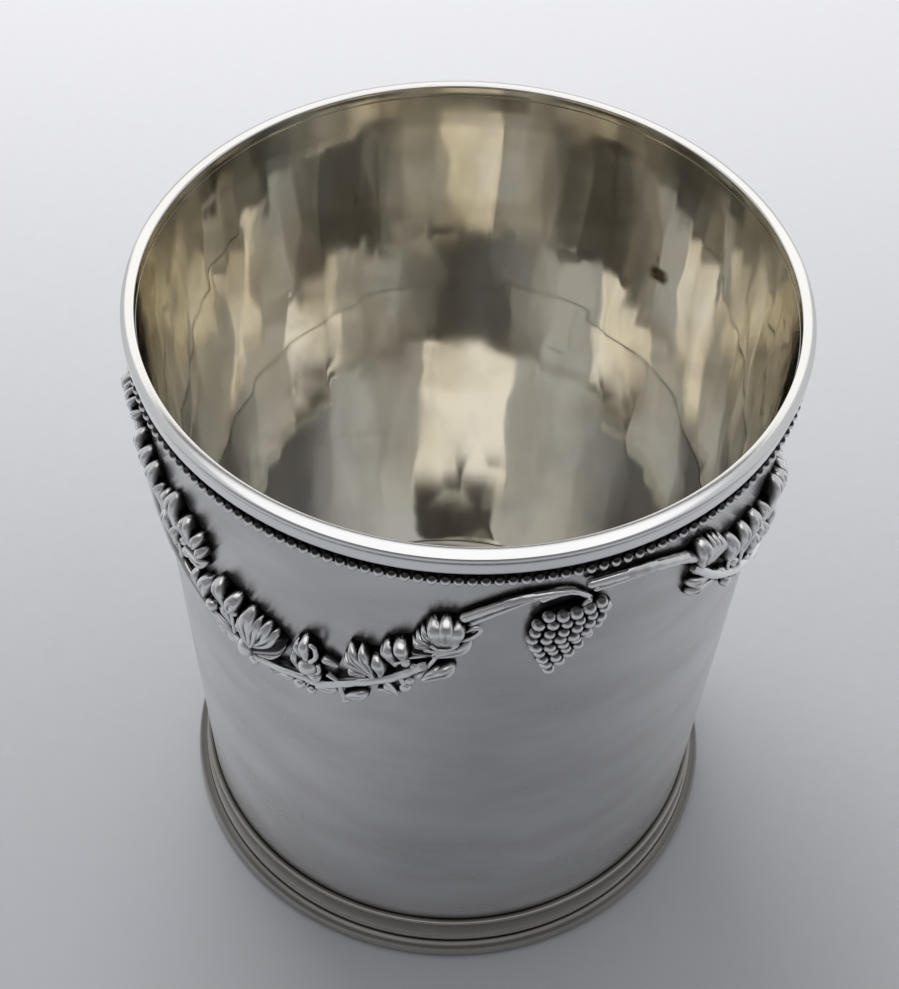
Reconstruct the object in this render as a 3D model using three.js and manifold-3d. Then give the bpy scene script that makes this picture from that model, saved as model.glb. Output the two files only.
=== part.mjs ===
// A small silver beaker: a tapered sheet wall with a base let into it, a moulded lip, a beaded strip,
// a foot of two mouldings, and an applied garland of vine, leaves, buds and grapes in three swags.
// Millimetres, +Z up. The origin is on the table under the beaker's axis, and -Y is the front.

import * as THREE from "three";
import { mergeVertices } from "three/addons/utils/BufferGeometryUtils.js";
import Module from "manifold-3d";

const wasm = await Module();
wasm.setup();

// The vessel
const BEAKER_HEIGHT = 90;
const MOUTH_RADIUS = 37.5; // inside of the lip
const WALL_FOOT_RADIUS = 34.65; // outside of the wall where it stands on the foot ring
const SHEET_THICKNESS = 0.7; // wall and base
const SOLDER_GAP = 0.25; // seam left between soldered pieces

// The lip moulding: a round roll over the wall's edge, with a plain skirt outside the wall
const LIP_ROLL_DIAMETER = 1.7;
const LIP_SEAT_DEPTH = 1.3; // from the top of the roll down to the seat on the wall's edge
const LIP_SKIRT_LENGTH = 1.7; // below the seat
const LIP_SKIRT_THICKNESS = 0.4;
const LIP_UNDERCUT_ANGLE = -45; // degrees, where the roll turns in above the skirt

// The beaded strip under the lip
const BEAD_GROOVE = 0.7; // plain groove between the skirt and the strip
const BEAD_PITCH = 1.37;
const BEAD_HEIGHT = 1.4;
const BEAD_STRIP_THICKNESS = 0.35;
const BEAD_RELIEF = 0.5;

// The foot: an upper coved moulding standing on a lower ring
const FOOT_RING_HEIGHT = 2.6;
const FOOT_RING_RADIUS = 37.2;
const FOOT_RIM_WIDTH = 2; // the flat band that stands on the table
const FOOT_LEDGE_THICKNESS = 1.1;
const FOOT_LEDGE_REACH = 1.55; // how far the ledge runs in past the rim and the wall
const COVE_HEIGHT = 3.9;
const COVE_FILLET = 0.6; // height of the plain fillets above and below the hollow
const COVE_TOP_RELIEF = 0.55; // how far the upper fillet stands out from its seat on the wall
const COVE_BOTTOM_RELIEF = 1.05;
const COVE_DEPTH = 0.3; // of the hollow behind the upper fillet

// The garland, laid out flat as on a pattern sheet and then bent round the wall
const SWAG_NAMES = ["left_swag", "right_swag", "back_swag"];
const FIRST_SWAG_ANGLE = -43; // degrees from the front to the middle of the left swag
const SWAG_DROP = 24.2; // the vine's lowest point under the beaded strip
const VINE_RADIUS = 0.65;
const TENDRIL_RADIUS = 0.35;
const TENDRIL_DROP = 3.9;
const BERRY_RADIUS = 1; // of a full berry
const ARCH_DROP = 1.2; // from the beaded strip to the crown of the arch
const ARCH_STRAND_RADIUS = 0.5;
const ARCH_STRAND_SPACING = 0.75; // between the middles of the two strands, which run into each other
const ARCH_REACH_LEFT = 17; // degrees from the peak to the cut end
const ARCH_REACH_RIGHT = 21.5;
const ARCH_FALL_LEFT = 4; // from the crown of the arch to the cut end
const ARCH_FALL_RIGHT = 2.4;
const PIECE_CLEARANCE = 0.3; // between neighbouring castings
const LEAF_EDGE = 1.1; // thickness of a leaf at its rim
const LEAF_CROWN = 1.9; // relief of a leaf at its middle
const LEAF_RIB = 0.85; // share of the crown's rise on a lobe's rib
const LEAF_VALLEY = 0.4; // share of the crown's rise between two lobes
const BUD_EDGE = 0.8;
const BUD_CROWN = 1.9;
const BUD_SHOULDER = 0.85; // share of the crown's rise half way out

// The bunch of grapes that hangs under each arch
const BUNCH_HANG = 0.4; // below the arch
const BUNCH_SHIFT = 1; // to the right of the arch's crown
const BUNCH_TURN = -11; // degrees, with the tip to the left
const BUNCH_LENGTH = 13.2;
const BUNCH_WIDTH = 9.6;
const BUNCH_CROWN = 1.3;
const GRAPE_RADIUS = 0.75;
const GRAPES_IN_ROW = [4, 5, 6, 5, 4, 3, 2, 1];

// Smoothness of the solids
const TURN_SEGMENTS = 60;
const ARC_STEP = 45; // degrees
const ROUND_STEPS = 5;
const VINE_STEPS = 18;
const VINE_SIDES = 6;
const TWIG_STEPS = 8;
const TENDRIL_SIDES = 5;
const POINTS_PER_LOBE = 4;
const BUD_POINTS = 8;
const SHOULDER = 0.6; // share of a leaf's radius at the ring between rim and crown
const VINE_SAMPLES = 80; // points on the vine's middle line, to read its height from
const WELD_DISTANCE = 1e-4; // corners closer than this are one

// The vine's route across one swag: share of half the swag's width, share of the swag's drop
const VINE_ROUTE = [
  [-0.6, 0.27],
  [-0.5, 0.46],
  [-0.38, 0.63],
  [-0.2, 0.82],
  [-0.03, 0.94],
  [0.12, 1],
  [0.26, 0.95],
  [0.42, 0.85],
  [0.55, 0.72],
  [0.64, 0.58],
];

// Berries hanging from the vine and cast with it: share of half the swag, and of a full berry's radius
const VINE_BERRIES = [
  [-0.43, 0.85],
  [-0.04, 0.75],
  [0.09, 0.95],
  [0.235, 0.8],
  [0.28, 0.75],
  [0.345, 0.95],
  [0.45, 1.1],
  [0.525, 0.75],
  [0.585, 0.85],
];
const BERRY_STRETCH = 1.4; // a berry's length over its width

// A tendril under the vine: its share of half the swag, and its curl's points along and up from the vine,
// as shares of its drop
const TENDRIL_AT = 0.395;
const TENDRIL_CURL = [
  [0, 0],
  [0.03, -0.41],
  [-0.05, -0.77],
  [0.13, -1],
  [0.31, -0.85],
];

// Buds: each is a pair of domes. along is a share of half the swag, and rise is from the vine up.
// A dome's x and y are from there, and its turn is in degrees, anticlockwise from pointing straight up.
const BUDS = [
  {
    name: "left_buds",
    along: -0.42,
    rise: 5.3,
    domes: [
      { x: -0.8, y: 0.4, width: 2, length: 4.6, turn: 6 },
      { x: 0.9, y: -0.3, width: 2, length: 4.4, turn: -8 },
    ],
  },
  {
    name: "long_bud",
    along: 0.295,
    rise: 4.1,
    domes: [
      { x: 0, y: 1, width: 2.6, length: 5, turn: 4 },
      { x: -0.2, y: -1.6, width: 3, length: 3.8, turn: 0 },
    ],
  },
  {
    name: "right_buds",
    along: 0.555,
    rise: 5.4,
    domes: [
      { x: -0.75, y: -0.5, width: 1.9, length: 3.8, turn: 16 },
      { x: 0.75, y: 0.5, width: 1.9, length: 3.6, turn: 6 },
    ],
  },
];

// Kinds of leaf: how many lobes, and how deep the notches between them are cut, as a share of the radius
const PALM = { lobes: 5, notch: 0.3 };
const VINE_LEAF = { lobes: 5, notch: 0.25 };
const TRIDENT = { lobes: 3, notch: 0.3 };
const LANCE = { lobes: 3, notch: 0.2 };
const BLADE = { lobes: 3, notch: 0.16 };

// Leaves: along and rise as for the buds, and turn in degrees, anticlockwise from pointing straight up
const LEAVES = [
  { name: "left_palm_leaf", along: -0.55, rise: 4.9, length: 4.8, width: 5.4, turn: 20, ...PALM },
  { name: "left_lance_leaf", along: -0.33, rise: 7.1, length: 6.8, width: 3.8, turn: -6, ...LANCE },
  { name: "left_long_leaf", along: -0.215, rise: 10.3, length: 7.4, width: 3.8, turn: -16, ...LANCE },
  { name: "left_vine_leaf", along: -0.115, rise: 10.2, length: 7.8, width: 4.4, turn: -8, ...VINE_LEAF },
  { name: "tulip_leaf", along: 0.02, rise: 7.1, length: 5.4, width: 4.6, turn: 4, ...TRIDENT },
  { name: "broad_leaf", along: 0.145, rise: 5.3, length: 8.4, width: 5.8, turn: -24, ...VINE_LEAF },
  { name: "trident_leaf", along: 0.455, rise: 4.4, length: 6, width: 4.6, turn: 14, ...TRIDENT },
  { name: "right_palm_leaf", along: 0.662, rise: 6.1, length: 5.6, width: 5.2, turn: -8, ...PALM },
  { name: "left_under_leaf", along: -0.55, rise: -2.2, length: 5.2, width: 3, turn: 105, ...BLADE },
  { name: "tucked_leaf", along: -0.1, rise: 3.6, length: 6.2, width: 3.2, turn: 20, ...BLADE },
  { name: "middle_under_leaf", along: -0.27, rise: 3.4, length: 6, width: 3.2, turn: 20, ...BLADE },
  { name: "right_under_leaf", along: 0.68, rise: -0.8, length: 5.2, width: 3, turn: -50, ...BLADE },
];

// Levels and radii that follow from the sizes above
const wallBottom = FOOT_RING_HEIGHT + SOLDER_GAP;
const lipSeat = BEAKER_HEIGHT - LIP_SEAT_DEPTH;
const wallTop = lipSeat - SOLDER_GAP;
const skirtBottom = lipSeat - LIP_SKIRT_LENGTH;
const beadTop = skirtBottom - BEAD_GROOVE;
const beadBottom = beadTop - BEAD_HEIGHT;

// Outside radius of the wall's cone at a height
function wallRadius(height) {
  const share = (height - FOOT_RING_HEIGHT) / (BEAKER_HEIGHT - FOOT_RING_HEIGHT);
  return THREE.MathUtils.lerp(WALL_FOOT_RADIUS, MOUTH_RADIUS + SHEET_THICKNESS, share);
}

// Where a piece soldered to the outside of the wall has its back
function seatRadius(height) {
  return wallRadius(height) + SOLDER_GAP;
}

const garlandRadius = seatRadius(beadBottom - SWAG_DROP / 2);
const halfSwag = (Math.PI / SWAG_NAMES.length) * garlandRadius;

// Points of an arc in a section of radius and height, anticlockwise from one angle in degrees to another
function arc(centreRadius, centreHeight, radius, fromAngle, toAngle) {
  const steps = Math.round((toAngle - fromAngle) / ARC_STEP);
  return Array.from({ length: steps + 1 }, (_, step) => {
    const angle = THREE.MathUtils.degToRad(THREE.MathUtils.lerp(fromAngle, toAngle, step / steps));
    return [centreRadius + radius * Math.cos(angle), centreHeight + radius * Math.sin(angle)];
  });
}

// A section of radius and height turned about the beaker's axis
function turned(section) {
  const points = section.map(([radius, height]) => new THREE.Vector2(radius, height));
  return new THREE.LatheGeometry(points, TURN_SEGMENTS).rotateX(Math.PI / 2);
}

// A section that goes all the way round itself, as a ring's does
function turnedRing(section) {
  return turned([...section, section[0]]);
}

function bodyWall() {
  return turnedRing([
    [wallRadius(wallBottom), wallBottom],
    [wallRadius(wallTop), wallTop],
    [wallRadius(wallTop) - SHEET_THICKNESS, wallTop],
    [wallRadius(wallBottom) - SHEET_THICKNESS, wallBottom],
  ]);
}

// The base lies on the foot ring's ledge, inside the wall
function baseDisc() {
  const edge = wallRadius(wallBottom) - SHEET_THICKNESS - SOLDER_GAP;
  return turned([
    [0, wallBottom],
    [edge, wallBottom],
    [edge, wallBottom + SHEET_THICKNESS],
    [0, wallBottom + SHEET_THICKNESS],
  ]);
}

function lipMoulding() {
  const roll = LIP_ROLL_DIAMETER / 2;
  const skirt = seatRadius(lipSeat) + LIP_SKIRT_THICKNESS;
  return turnedRing([
    [seatRadius(skirtBottom), skirtBottom],
    [skirt, skirtBottom],
    [skirt, lipSeat],
    ...arc(MOUTH_RADIUS + roll, BEAKER_HEIGHT - roll, roll, LIP_UNDERCUT_ANGLE, 180),
    [MOUTH_RADIUS, lipSeat],
    [seatRadius(lipSeat), lipSeat],
  ]);
}

// A plain ring whose outside rises to a point at each bead
function beadStrip() {
  const inner = seatRadius(beadTop);
  const outer = inner + BEAD_STRIP_THICKNESS;
  const beads = Math.round((2 * Math.PI * outer) / BEAD_PITCH);
  const corners = [
    [inner, beadTop],
    [inner, beadBottom],
    [outer, beadBottom],
    [outer, beadTop],
    [outer + BEAD_RELIEF, (beadTop + beadBottom) / 2],
  ];
  const positions = [];
  const triangles = [];
  for (let bead = 0; bead < beads; bead += 1) {
    corners.forEach(([radius, height], corner) => {
      const share = corner === corners.length - 1 ? bead + 0.5 : bead;
      const angle = (2 * Math.PI * share) / beads;
      positions.push(radius * Math.cos(angle), radius * Math.sin(angle), height);
    });
    const cornersAt = (place) => corners.map((_, corner) => (place % beads) * corners.length + corner);
    const [innerTop, innerBottom, outerBottom, outerTop, crest] = cornersAt(bead);
    const [nextInnerTop, nextInnerBottom, nextOuterBottom, nextOuterTop] = cornersAt(bead + 1);
    triangles.push(innerTop, nextInnerBottom, innerBottom, innerTop, nextInnerTop, nextInnerBottom);
    triangles.push(innerBottom, nextOuterBottom, outerBottom, innerBottom, nextInnerBottom, nextOuterBottom);
    triangles.push(outerTop, nextInnerTop, innerTop, outerTop, nextOuterTop, nextInnerTop);
    triangles.push(outerBottom, nextOuterBottom, crest, nextOuterBottom, nextOuterTop, crest);
    triangles.push(nextOuterTop, outerTop, crest, outerTop, outerBottom, crest);
  }
  return indexedGeometry(positions, triangles);
}

function indexedGeometry(positions, triangles) {
  const geometry = new THREE.BufferGeometry();
  geometry.setAttribute("position", new THREE.Float32BufferAttribute(positions, 3));
  geometry.setIndex(triangles);
  return geometry;
}

// A hollow between two plain fillets, standing on the foot ring round the wall's lower edge
function footCove() {
  const top = wallBottom + COVE_HEIGHT;
  const low = wallBottom + COVE_FILLET;
  const high = top - COVE_FILLET;
  const bottomRadius = seatRadius(wallBottom) + COVE_BOTTOM_RELIEF;
  const topRadius = seatRadius(top) + COVE_TOP_RELIEF;
  const hollowRadius = topRadius - COVE_DEPTH;
  const hollow = Array.from({ length: ROUND_STEPS + 1 }, (_, step) => {
    const angle = ((Math.PI / 2) * step) / ROUND_STEPS;
    return [
      hollowRadius + (bottomRadius - hollowRadius) * (1 - Math.sin(angle)),
      low + (high - low) * (1 - Math.cos(angle)),
    ];
  });
  return turnedRing([
    [seatRadius(wallBottom), wallBottom],
    [bottomRadius, wallBottom],
    ...hollow,
    [topRadius, high],
    [topRadius, top],
    [seatRadius(top), top],
  ]);
}

// The ring that stands on the table, with a ledge inside it that carries the base and the wall
function footRing() {
  const round = FOOT_RING_HEIGHT / 2;
  const rimInner = FOOT_RING_RADIUS - round - FOOT_RIM_WIDTH;
  const ledgeInner = Math.min(rimInner, WALL_FOOT_RADIUS - SHEET_THICKNESS) - FOOT_LEDGE_REACH;
  return turnedRing([
    [rimInner, 0],
    ...arc(FOOT_RING_RADIUS - round, round, round, -90, 90),
    [ledgeInner, FOOT_RING_HEIGHT],
    [ledgeInner, FOOT_RING_HEIGHT - FOOT_LEDGE_THICKNESS],
    [rimInner, FOOT_RING_HEIGHT - FOOT_LEDGE_THICKNESS],
  ]);
}

// The garland's pattern sheet: x along the wall from the swag's middle, y up from the beaded strip,
// z out from the wall. This bends a piece drawn there round the wall, and makes it a solid.
function bent(geometry) {
  const bare = geometry.clone();
  bare.deleteAttribute("normal");
  bare.deleteAttribute("uv");
  const position = bare.attributes.position;
  for (let i = 0; i < position.count; i += 1) {
    const height = beadBottom + position.getY(i);
    const radius = seatRadius(height) + position.getZ(i);
    const angle = position.getX(i) / garlandRadius;
    position.setXYZ(i, radius * Math.sin(angle), -radius * Math.cos(angle), height);
  }
  const merged = mergeVertices(bare, WELD_DISTANCE);
  const vertProperties = new Float32Array(merged.attributes.position.array);
  const triVerts = new Uint32Array(merged.index.array);
  return new wasm.Manifold(new wasm.Mesh({ numProp: 3, vertProperties, triVerts }));
}

function united(geometries) {
  return geometries.map(bent).reduce((whole, solid) => whole.add(solid));
}

function solidGeometry(solid) {
  const mesh = solid.getMesh();
  return indexedGeometry(Array.from(mesh.vertProperties), Array.from(mesh.triVerts));
}

// A round rod along points of the pattern sheet
function rod(points, radius, sides, steps) {
  const path = new THREE.CatmullRomCurve3(points.map(([x, y, z]) => new THREE.Vector3(x, y, z)));
  const corners = Array.from({ length: sides }, (_, side) => {
    const angle = (2 * Math.PI * side) / sides;
    return new THREE.Vector2(radius * Math.cos(angle), radius * Math.sin(angle));
  });
  const section = new THREE.Shape(corners);
  return new THREE.ExtrudeGeometry(section, { steps, bevelEnabled: false, extrudePath: path });
}

// A low dome on the wall. outline is its radius at an angle from the tip, and rib the relief's share there.
function relief(points, outline, rib, edge, crown, back) {
  const rings = [
    { share: 1, lift: () => -back },
    { share: 1, lift: () => edge },
    { share: SHOULDER, lift: (angle) => edge + (crown - edge) * rib(angle) },
  ];
  const positions = [0, 0, -back];
  rings.forEach(({ share, lift }) => {
    for (let k = 0; k < points; k += 1) {
      const angle = (2 * Math.PI * k) / points;
      const radius = share * outline(angle);
      positions.push(-radius * Math.sin(angle), radius * Math.cos(angle), lift(angle));
    }
  });
  positions.push(0, 0, crown);
  const at = (ring, k) => 1 + ring * points + (k % points);
  const triangles = [];
  for (let k = 0; k < points; k += 1) {
    triangles.push(0, at(0, k + 1), at(0, k));
    for (let ring = 0; ring < rings.length - 1; ring += 1) {
      triangles.push(at(ring, k), at(ring, k + 1), at(ring + 1, k + 1));
      triangles.push(at(ring, k), at(ring + 1, k + 1), at(ring + 1, k));
    }
    triangles.push(at(rings.length - 1, k), at(rings.length - 1, k + 1), 1 + rings.length * points);
  }
  return indexedGeometry(positions, triangles);
}

function ellipseRadius(angle, halfLength, halfWidth) {
  return 1 / Math.hypot(Math.cos(angle) / halfLength, Math.sin(angle) / halfWidth);
}

const vineCurve = new THREE.CatmullRomCurve3(
  VINE_ROUTE.map(([along, drop]) => new THREE.Vector3(along * halfSwag, -drop * SWAG_DROP, VINE_RADIUS)),
);
const vinePoints = vineCurve.getPoints(VINE_SAMPLES);

// Height of the vine's middle line at a share of half the swag, level beyond its ends
function vineHeight(along) {
  const distance = (point) => Math.abs(point.x - along * halfSwag);
  return vinePoints.reduce((best, point) => (distance(point) < distance(best) ? point : best)).y;
}

// The vine with its berries and its tendril. grow thickens it, for the room that it needs.
function vine(grow) {
  const route = vineCurve.points.map(({ x, y, z }) => [x, y, z]);
  const pieces = [rod(route, VINE_RADIUS + grow, VINE_SIDES, VINE_STEPS)];
  VINE_BERRIES.forEach(([along, share]) => {
    const radius = share * BERRY_RADIUS;
    const berry = new THREE.IcosahedronGeometry(radius + grow).scale(1, BERRY_STRETCH, 1);
    pieces.push(berry.translate(along * halfSwag, vineHeight(along) - BERRY_STRETCH * radius, radius));
  });
  const root = [TENDRIL_AT * halfSwag, vineHeight(TENDRIL_AT)];
  const curl = TENDRIL_CURL.map(([x, y]) => [x * TENDRIL_DROP, y * TENDRIL_DROP]);
  const tendril = curl.map(([x, y]) => [root[0] + x, root[1] + y, VINE_RADIUS]);
  pieces.push(rod(tendril, TENDRIL_RADIUS + grow, TENDRIL_SIDES, TWIG_STEPS));
  return united(pieces);
}

// A twig of two strands that arches over a peak between two swags
function archTwig(grow, peak) {
  const crown = -ARCH_DROP - ARCH_STRAND_RADIUS;
  const strands = [0, ARCH_STRAND_SPACING].map((spacing) => {
    const points = Array.from({ length: 2 * ROUND_STEPS + 1 }, (_, step) => {
      const share = step / ROUND_STEPS - 1;
      const reach = share < 0 ? ARCH_REACH_LEFT : ARCH_REACH_RIGHT;
      const fall = share < 0 ? ARCH_FALL_LEFT : ARCH_FALL_RIGHT;
      const x = peak + share * THREE.MathUtils.degToRad(reach) * garlandRadius;
      return [x, crown - spacing - fall * share * share, ARCH_STRAND_RADIUS];
    });
    return rod(points, ARCH_STRAND_RADIUS + grow, VINE_SIDES, TWIG_STEPS);
  });
  return united(strands);
}

// Rows of grapes on a rounded core that narrows to the tip, hanging under the arch
function grapes(grow) {
  const archBottom = -ARCH_DROP - 2 * ARCH_STRAND_RADIUS - ARCH_STRAND_SPACING;
  const top = archBottom - BUNCH_HANG;
  const rows = GRAPES_IN_ROW.length;
  const most = Math.max(...GRAPES_IN_ROW);
  const widest = GRAPES_IN_ROW.indexOf(most);
  const rowStep = (BUNCH_LENGTH - 2 * GRAPE_RADIUS) / (rows - 1);
  const grapeStep = (BUNCH_WIDTH - 2 * GRAPE_RADIUS) / (most - 1);
  const halfWidth = BUNCH_WIDTH / 2;
  const coreHalf = halfWidth - GRAPE_RADIUS + grow;
  const coreUp = widest * rowStep + GRAPE_RADIUS / 2 + grow;
  const coreDown = (rows - 1 - widest) * rowStep + grow;
  const outline = (angle) => {
    if (Math.cos(angle) > 0) return ellipseRadius(angle, coreUp, coreHalf);
    return 1 / (Math.abs(Math.sin(angle)) / coreHalf + Math.abs(Math.cos(angle)) / coreDown);
  };
  const core = relief(2 * BUD_POINTS, outline, () => 1, GRAPE_RADIUS, BUNCH_CROWN + grow, grow);
  const rowHeight = (row) => -GRAPE_RADIUS - row * rowStep;
  const pieces = [core.translate(0, rowHeight(widest), 0)];
  GRAPES_IN_ROW.forEach((count, row) => {
    for (let grape = 0; grape < count; grape += 1) {
      const x = (grape - (count - 1) / 2) * grapeStep;
      const swell = BUNCH_CROWN * (1 - (x / halfWidth) ** 2) * (1 - Math.abs(row - widest) / rows);
      const lift = Math.max(GRAPE_RADIUS, GRAPE_RADIUS / 2 + swell);
      pieces.push(new THREE.IcosahedronGeometry(GRAPE_RADIUS + grow).translate(x, rowHeight(row), lift));
    }
  });
  const turn = THREE.MathUtils.degToRad(BUNCH_TURN);
  return united(pieces.map((form) => form.rotateZ(turn).translate(halfSwag + BUNCH_SHIFT, top, 0)));
}

// Bud domes that touch, cast in one
function buds({ along, rise, domes }, grow) {
  const middle = vineHeight(along) + rise;
  return united(
    domes.map(({ x, y, width, length, turn }) => {
      const outline = (angle) => ellipseRadius(angle, length / 2 + grow, width / 2 + grow);
      const dome = relief(BUD_POINTS, outline, () => BUD_SHOULDER, BUD_EDGE, BUD_CROWN + grow, grow);
      return dome.rotateZ(THREE.MathUtils.degToRad(turn)).translate(along * halfSwag + x, middle + y, 0);
    }),
  );
}

// A lobed leaf, ribbed along its lobes
function leaf({ along, rise, length, width, lobes, notch, turn }, grow) {
  const valley = (angle) => (1 - Math.cos(lobes * angle)) / 2;
  const oval = (angle) => ellipseRadius(angle, length / 2 + grow, width / 2 + grow);
  const outline = (angle) => (1 - notch * valley(angle)) * oval(angle);
  const rib = (angle) => THREE.MathUtils.lerp(LEAF_RIB, LEAF_VALLEY, valley(angle));
  const blade = relief(lobes * POINTS_PER_LOBE, outline, rib, LEAF_EDGE, LEAF_CROWN + grow, grow);
  blade.rotateZ(THREE.MathUtils.degToRad(turn));
  return bent(blade.translate(along * halfSwag, vineHeight(along) + rise, 0));
}

// The castings of one swag, each cut back to leave room for those laid before it. The twig arches over the
// peak at the swag's right end, and the last swag's twig reaches in over the peak at its left end.
function swagCastings() {
  const makers = [
    { name: "vine", make: vine },
    { name: "arch_twig", make: (grow) => archTwig(grow, halfSwag) },
    { name: "grapes", make: grapes },
    ...BUDS.map((bud) => ({ name: bud.name, make: (grow) => buds(bud, grow) })),
    ...LEAVES.map((blade) => ({ name: blade.name, make: (grow) => leaf(blade, grow) })),
  ];
  const rooms = [archTwig(PIECE_CLEARANCE, -halfSwag)];
  return makers.map(({ name, make }) => {
    const trimmed = rooms.reduce((solid, room) => solid.subtract(room), make(0));
    const bodies = trimmed.decompose();
    const largest = bodies.reduce((best, body) => (body.volume() > best.volume() ? body : best));
    rooms.push(make(PIECE_CLEARANCE));
    return { name, geometry: solidGeometry(largest) };
  });
}

const polishedSilver = new THREE.MeshStandardMaterial({ color: 0xc9c7c3, roughness: 0.22, metalness: 1 });
const satinSilver = new THREE.MeshStandardMaterial({ color: 0xb4b2b0, roughness: 0.35, metalness: 1 });
const castSilver = new THREE.MeshStandardMaterial({ color: 0xa9a69e, roughness: 0.4, metalness: 1 });

function piece(name, geometry, material) {
  const mesh = new THREE.Mesh(geometry, material);
  mesh.name = name;
  return mesh;
}

const beaker = new THREE.Group();
beaker.add(piece("body_wall", bodyWall(), satinSilver));
beaker.add(piece("base_disc", baseDisc(), satinSilver));
beaker.add(piece("lip_moulding", lipMoulding(), polishedSilver));
beaker.add(piece("bead_strip", beadStrip(), castSilver));
beaker.add(piece("foot_cove", footCove(), satinSilver));
beaker.add(piece("foot_ring", footRing(), polishedSilver));

const castings = swagCastings();
SWAG_NAMES.forEach((swagName, index) => {
  const swag = new THREE.Group();
  swag.rotation.z = THREE.MathUtils.degToRad(FIRST_SWAG_ANGLE + (360 / SWAG_NAMES.length) * index);
  castings.forEach(({ name, geometry }) => swag.add(piece(`${swagName}_${name}`, geometry, castSilver)));
  beaker.add(swag);
});

export default beaker;
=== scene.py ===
# %% [markdown]
# # A small silver beaker
#
# The beaker is a tapered silver wall with a flat base, a rounded lip, a row of beads, a moulded foot and a
# garland of cast vine leaves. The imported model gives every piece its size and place. This lesson dresses it:
# each plain solid is replaced by a smooth, detailed mesh in the same spot, and each surface gets its finish.
# The beaker's lengths are in millimetres. Blender works in metres, so points are scaled once, when a mesh
# is made. The floor and the lamp are written in metres.

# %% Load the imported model
import math

import bmesh
import bpy
import numpy as np
from mathutils import Matrix, Vector


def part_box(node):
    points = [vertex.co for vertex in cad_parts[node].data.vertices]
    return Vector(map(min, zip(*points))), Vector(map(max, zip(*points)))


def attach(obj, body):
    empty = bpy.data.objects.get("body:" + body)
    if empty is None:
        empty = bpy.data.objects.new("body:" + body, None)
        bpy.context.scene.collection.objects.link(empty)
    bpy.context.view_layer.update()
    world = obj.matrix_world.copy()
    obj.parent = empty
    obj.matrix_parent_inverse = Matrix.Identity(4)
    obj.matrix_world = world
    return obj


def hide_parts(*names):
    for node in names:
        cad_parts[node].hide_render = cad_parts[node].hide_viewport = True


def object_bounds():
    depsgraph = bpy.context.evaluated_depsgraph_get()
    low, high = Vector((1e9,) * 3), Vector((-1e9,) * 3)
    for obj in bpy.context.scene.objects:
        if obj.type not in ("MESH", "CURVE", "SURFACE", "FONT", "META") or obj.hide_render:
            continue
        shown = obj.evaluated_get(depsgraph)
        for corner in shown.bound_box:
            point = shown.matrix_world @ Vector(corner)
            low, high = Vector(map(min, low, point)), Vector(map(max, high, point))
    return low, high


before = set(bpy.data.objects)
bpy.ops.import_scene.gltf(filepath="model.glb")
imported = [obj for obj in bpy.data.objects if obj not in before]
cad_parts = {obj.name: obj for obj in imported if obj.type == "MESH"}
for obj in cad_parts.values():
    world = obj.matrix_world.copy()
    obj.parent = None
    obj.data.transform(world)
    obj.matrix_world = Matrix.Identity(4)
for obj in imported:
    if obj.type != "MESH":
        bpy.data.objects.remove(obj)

MM = 0.001
cad_low, cad_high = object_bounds()
cad_size = [round(side / MM, 1) for side in cad_high - cad_low]
print("packed model:", len(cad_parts), "nodes,", cad_size, "mm")

# %% [markdown]
# ## The camera
#
# The photograph looks down into the beaker from the front. Its angle, distance and lens were worked out from
# the ellipses of the lip and the foot. A camera can be aimed with a constraint, but here the three axes are
# written out, because the photograph is also rolled by a couple of degrees.

# %% Place the camera
IMAGE_HEIGHT = 989
FOCAL_PIXELS = 1790
SENSOR = 36.0
CAMERA_TILT = math.radians(49.19)
CAMERA_ROLL = math.radians(2.33)
CAMERA_PLACE = (-1.3, -149.7, 227.6)
NEAR_CLIP = 0.01


def aimed_camera():
    data = bpy.data.cameras.new("camera")
    data.sensor_width = SENSOR
    data.lens = FOCAL_PIXELS / IMAGE_HEIGHT * SENSOR
    data.clip_start = NEAR_CLIP
    camera = bpy.data.objects.new("camera", data)
    bpy.context.scene.collection.objects.link(camera)
    tilt = Matrix.Rotation(math.pi / 2 - CAMERA_TILT, 4, "X")
    roll = Matrix.Rotation(CAMERA_ROLL, 4, "Z")
    camera.matrix_world = Matrix.Translation(Vector(CAMERA_PLACE) * MM) @ tilt @ roll
    return camera


bpy.context.scene.camera = aimed_camera()
print("camera lens", round(bpy.context.scene.camera.data.lens, 2), "mm")

# %% [markdown]
# ## Sizes from the frame
#
# Nothing is measured twice. The wall's taper and the levels of the lip, the beaded strip and the foot are
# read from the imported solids, so the dressed pieces fit them. The garland is drawn flat, as on a pattern
# sheet, and bent round the wall: x runs along the wall from a swag's middle, y up from a line a little under
# the beaded strip, and z out from the wall. A curve modifier could bend it, but two lines of trigonometry do.

# %% Read the vessel's sizes
SWAG_NAMES = ("left_swag", "right_swag", "back_swag")
FIRST_SWAG_ANGLE = math.radians(-43)
SWAG_STEP = 2 * math.pi / len(SWAG_NAMES)
SWAG_DROP = 24.2
SHEET_GAP = 0.6
LEVEL_SLACK = 0.01


def node_span(node):
    low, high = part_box(node)
    return low.z / MM, high.z / MM


def radii_at(node, level):
    """How far a node's corners at one level lie from the axis."""
    points = np.array([vertex.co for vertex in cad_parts[node].data.vertices]) / MM
    at_level = np.abs(points[:, 2] - level) < LEVEL_SLACK
    return np.hypot(points[at_level, 0], points[at_level, 1])


def widest(node, level):
    return float(radii_at(node, level).max())


def narrowest(node, level):
    return float(radii_at(node, level).min())


wall_bottom, wall_top = node_span("body_wall")
bead_bottom, bead_top = node_span("bead_strip")
wall_bottom_radius = widest("body_wall", wall_bottom)
wall_top_radius = widest("body_wall", wall_top)
sheet_thickness = wall_top_radius - narrowest("body_wall", wall_top)


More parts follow.
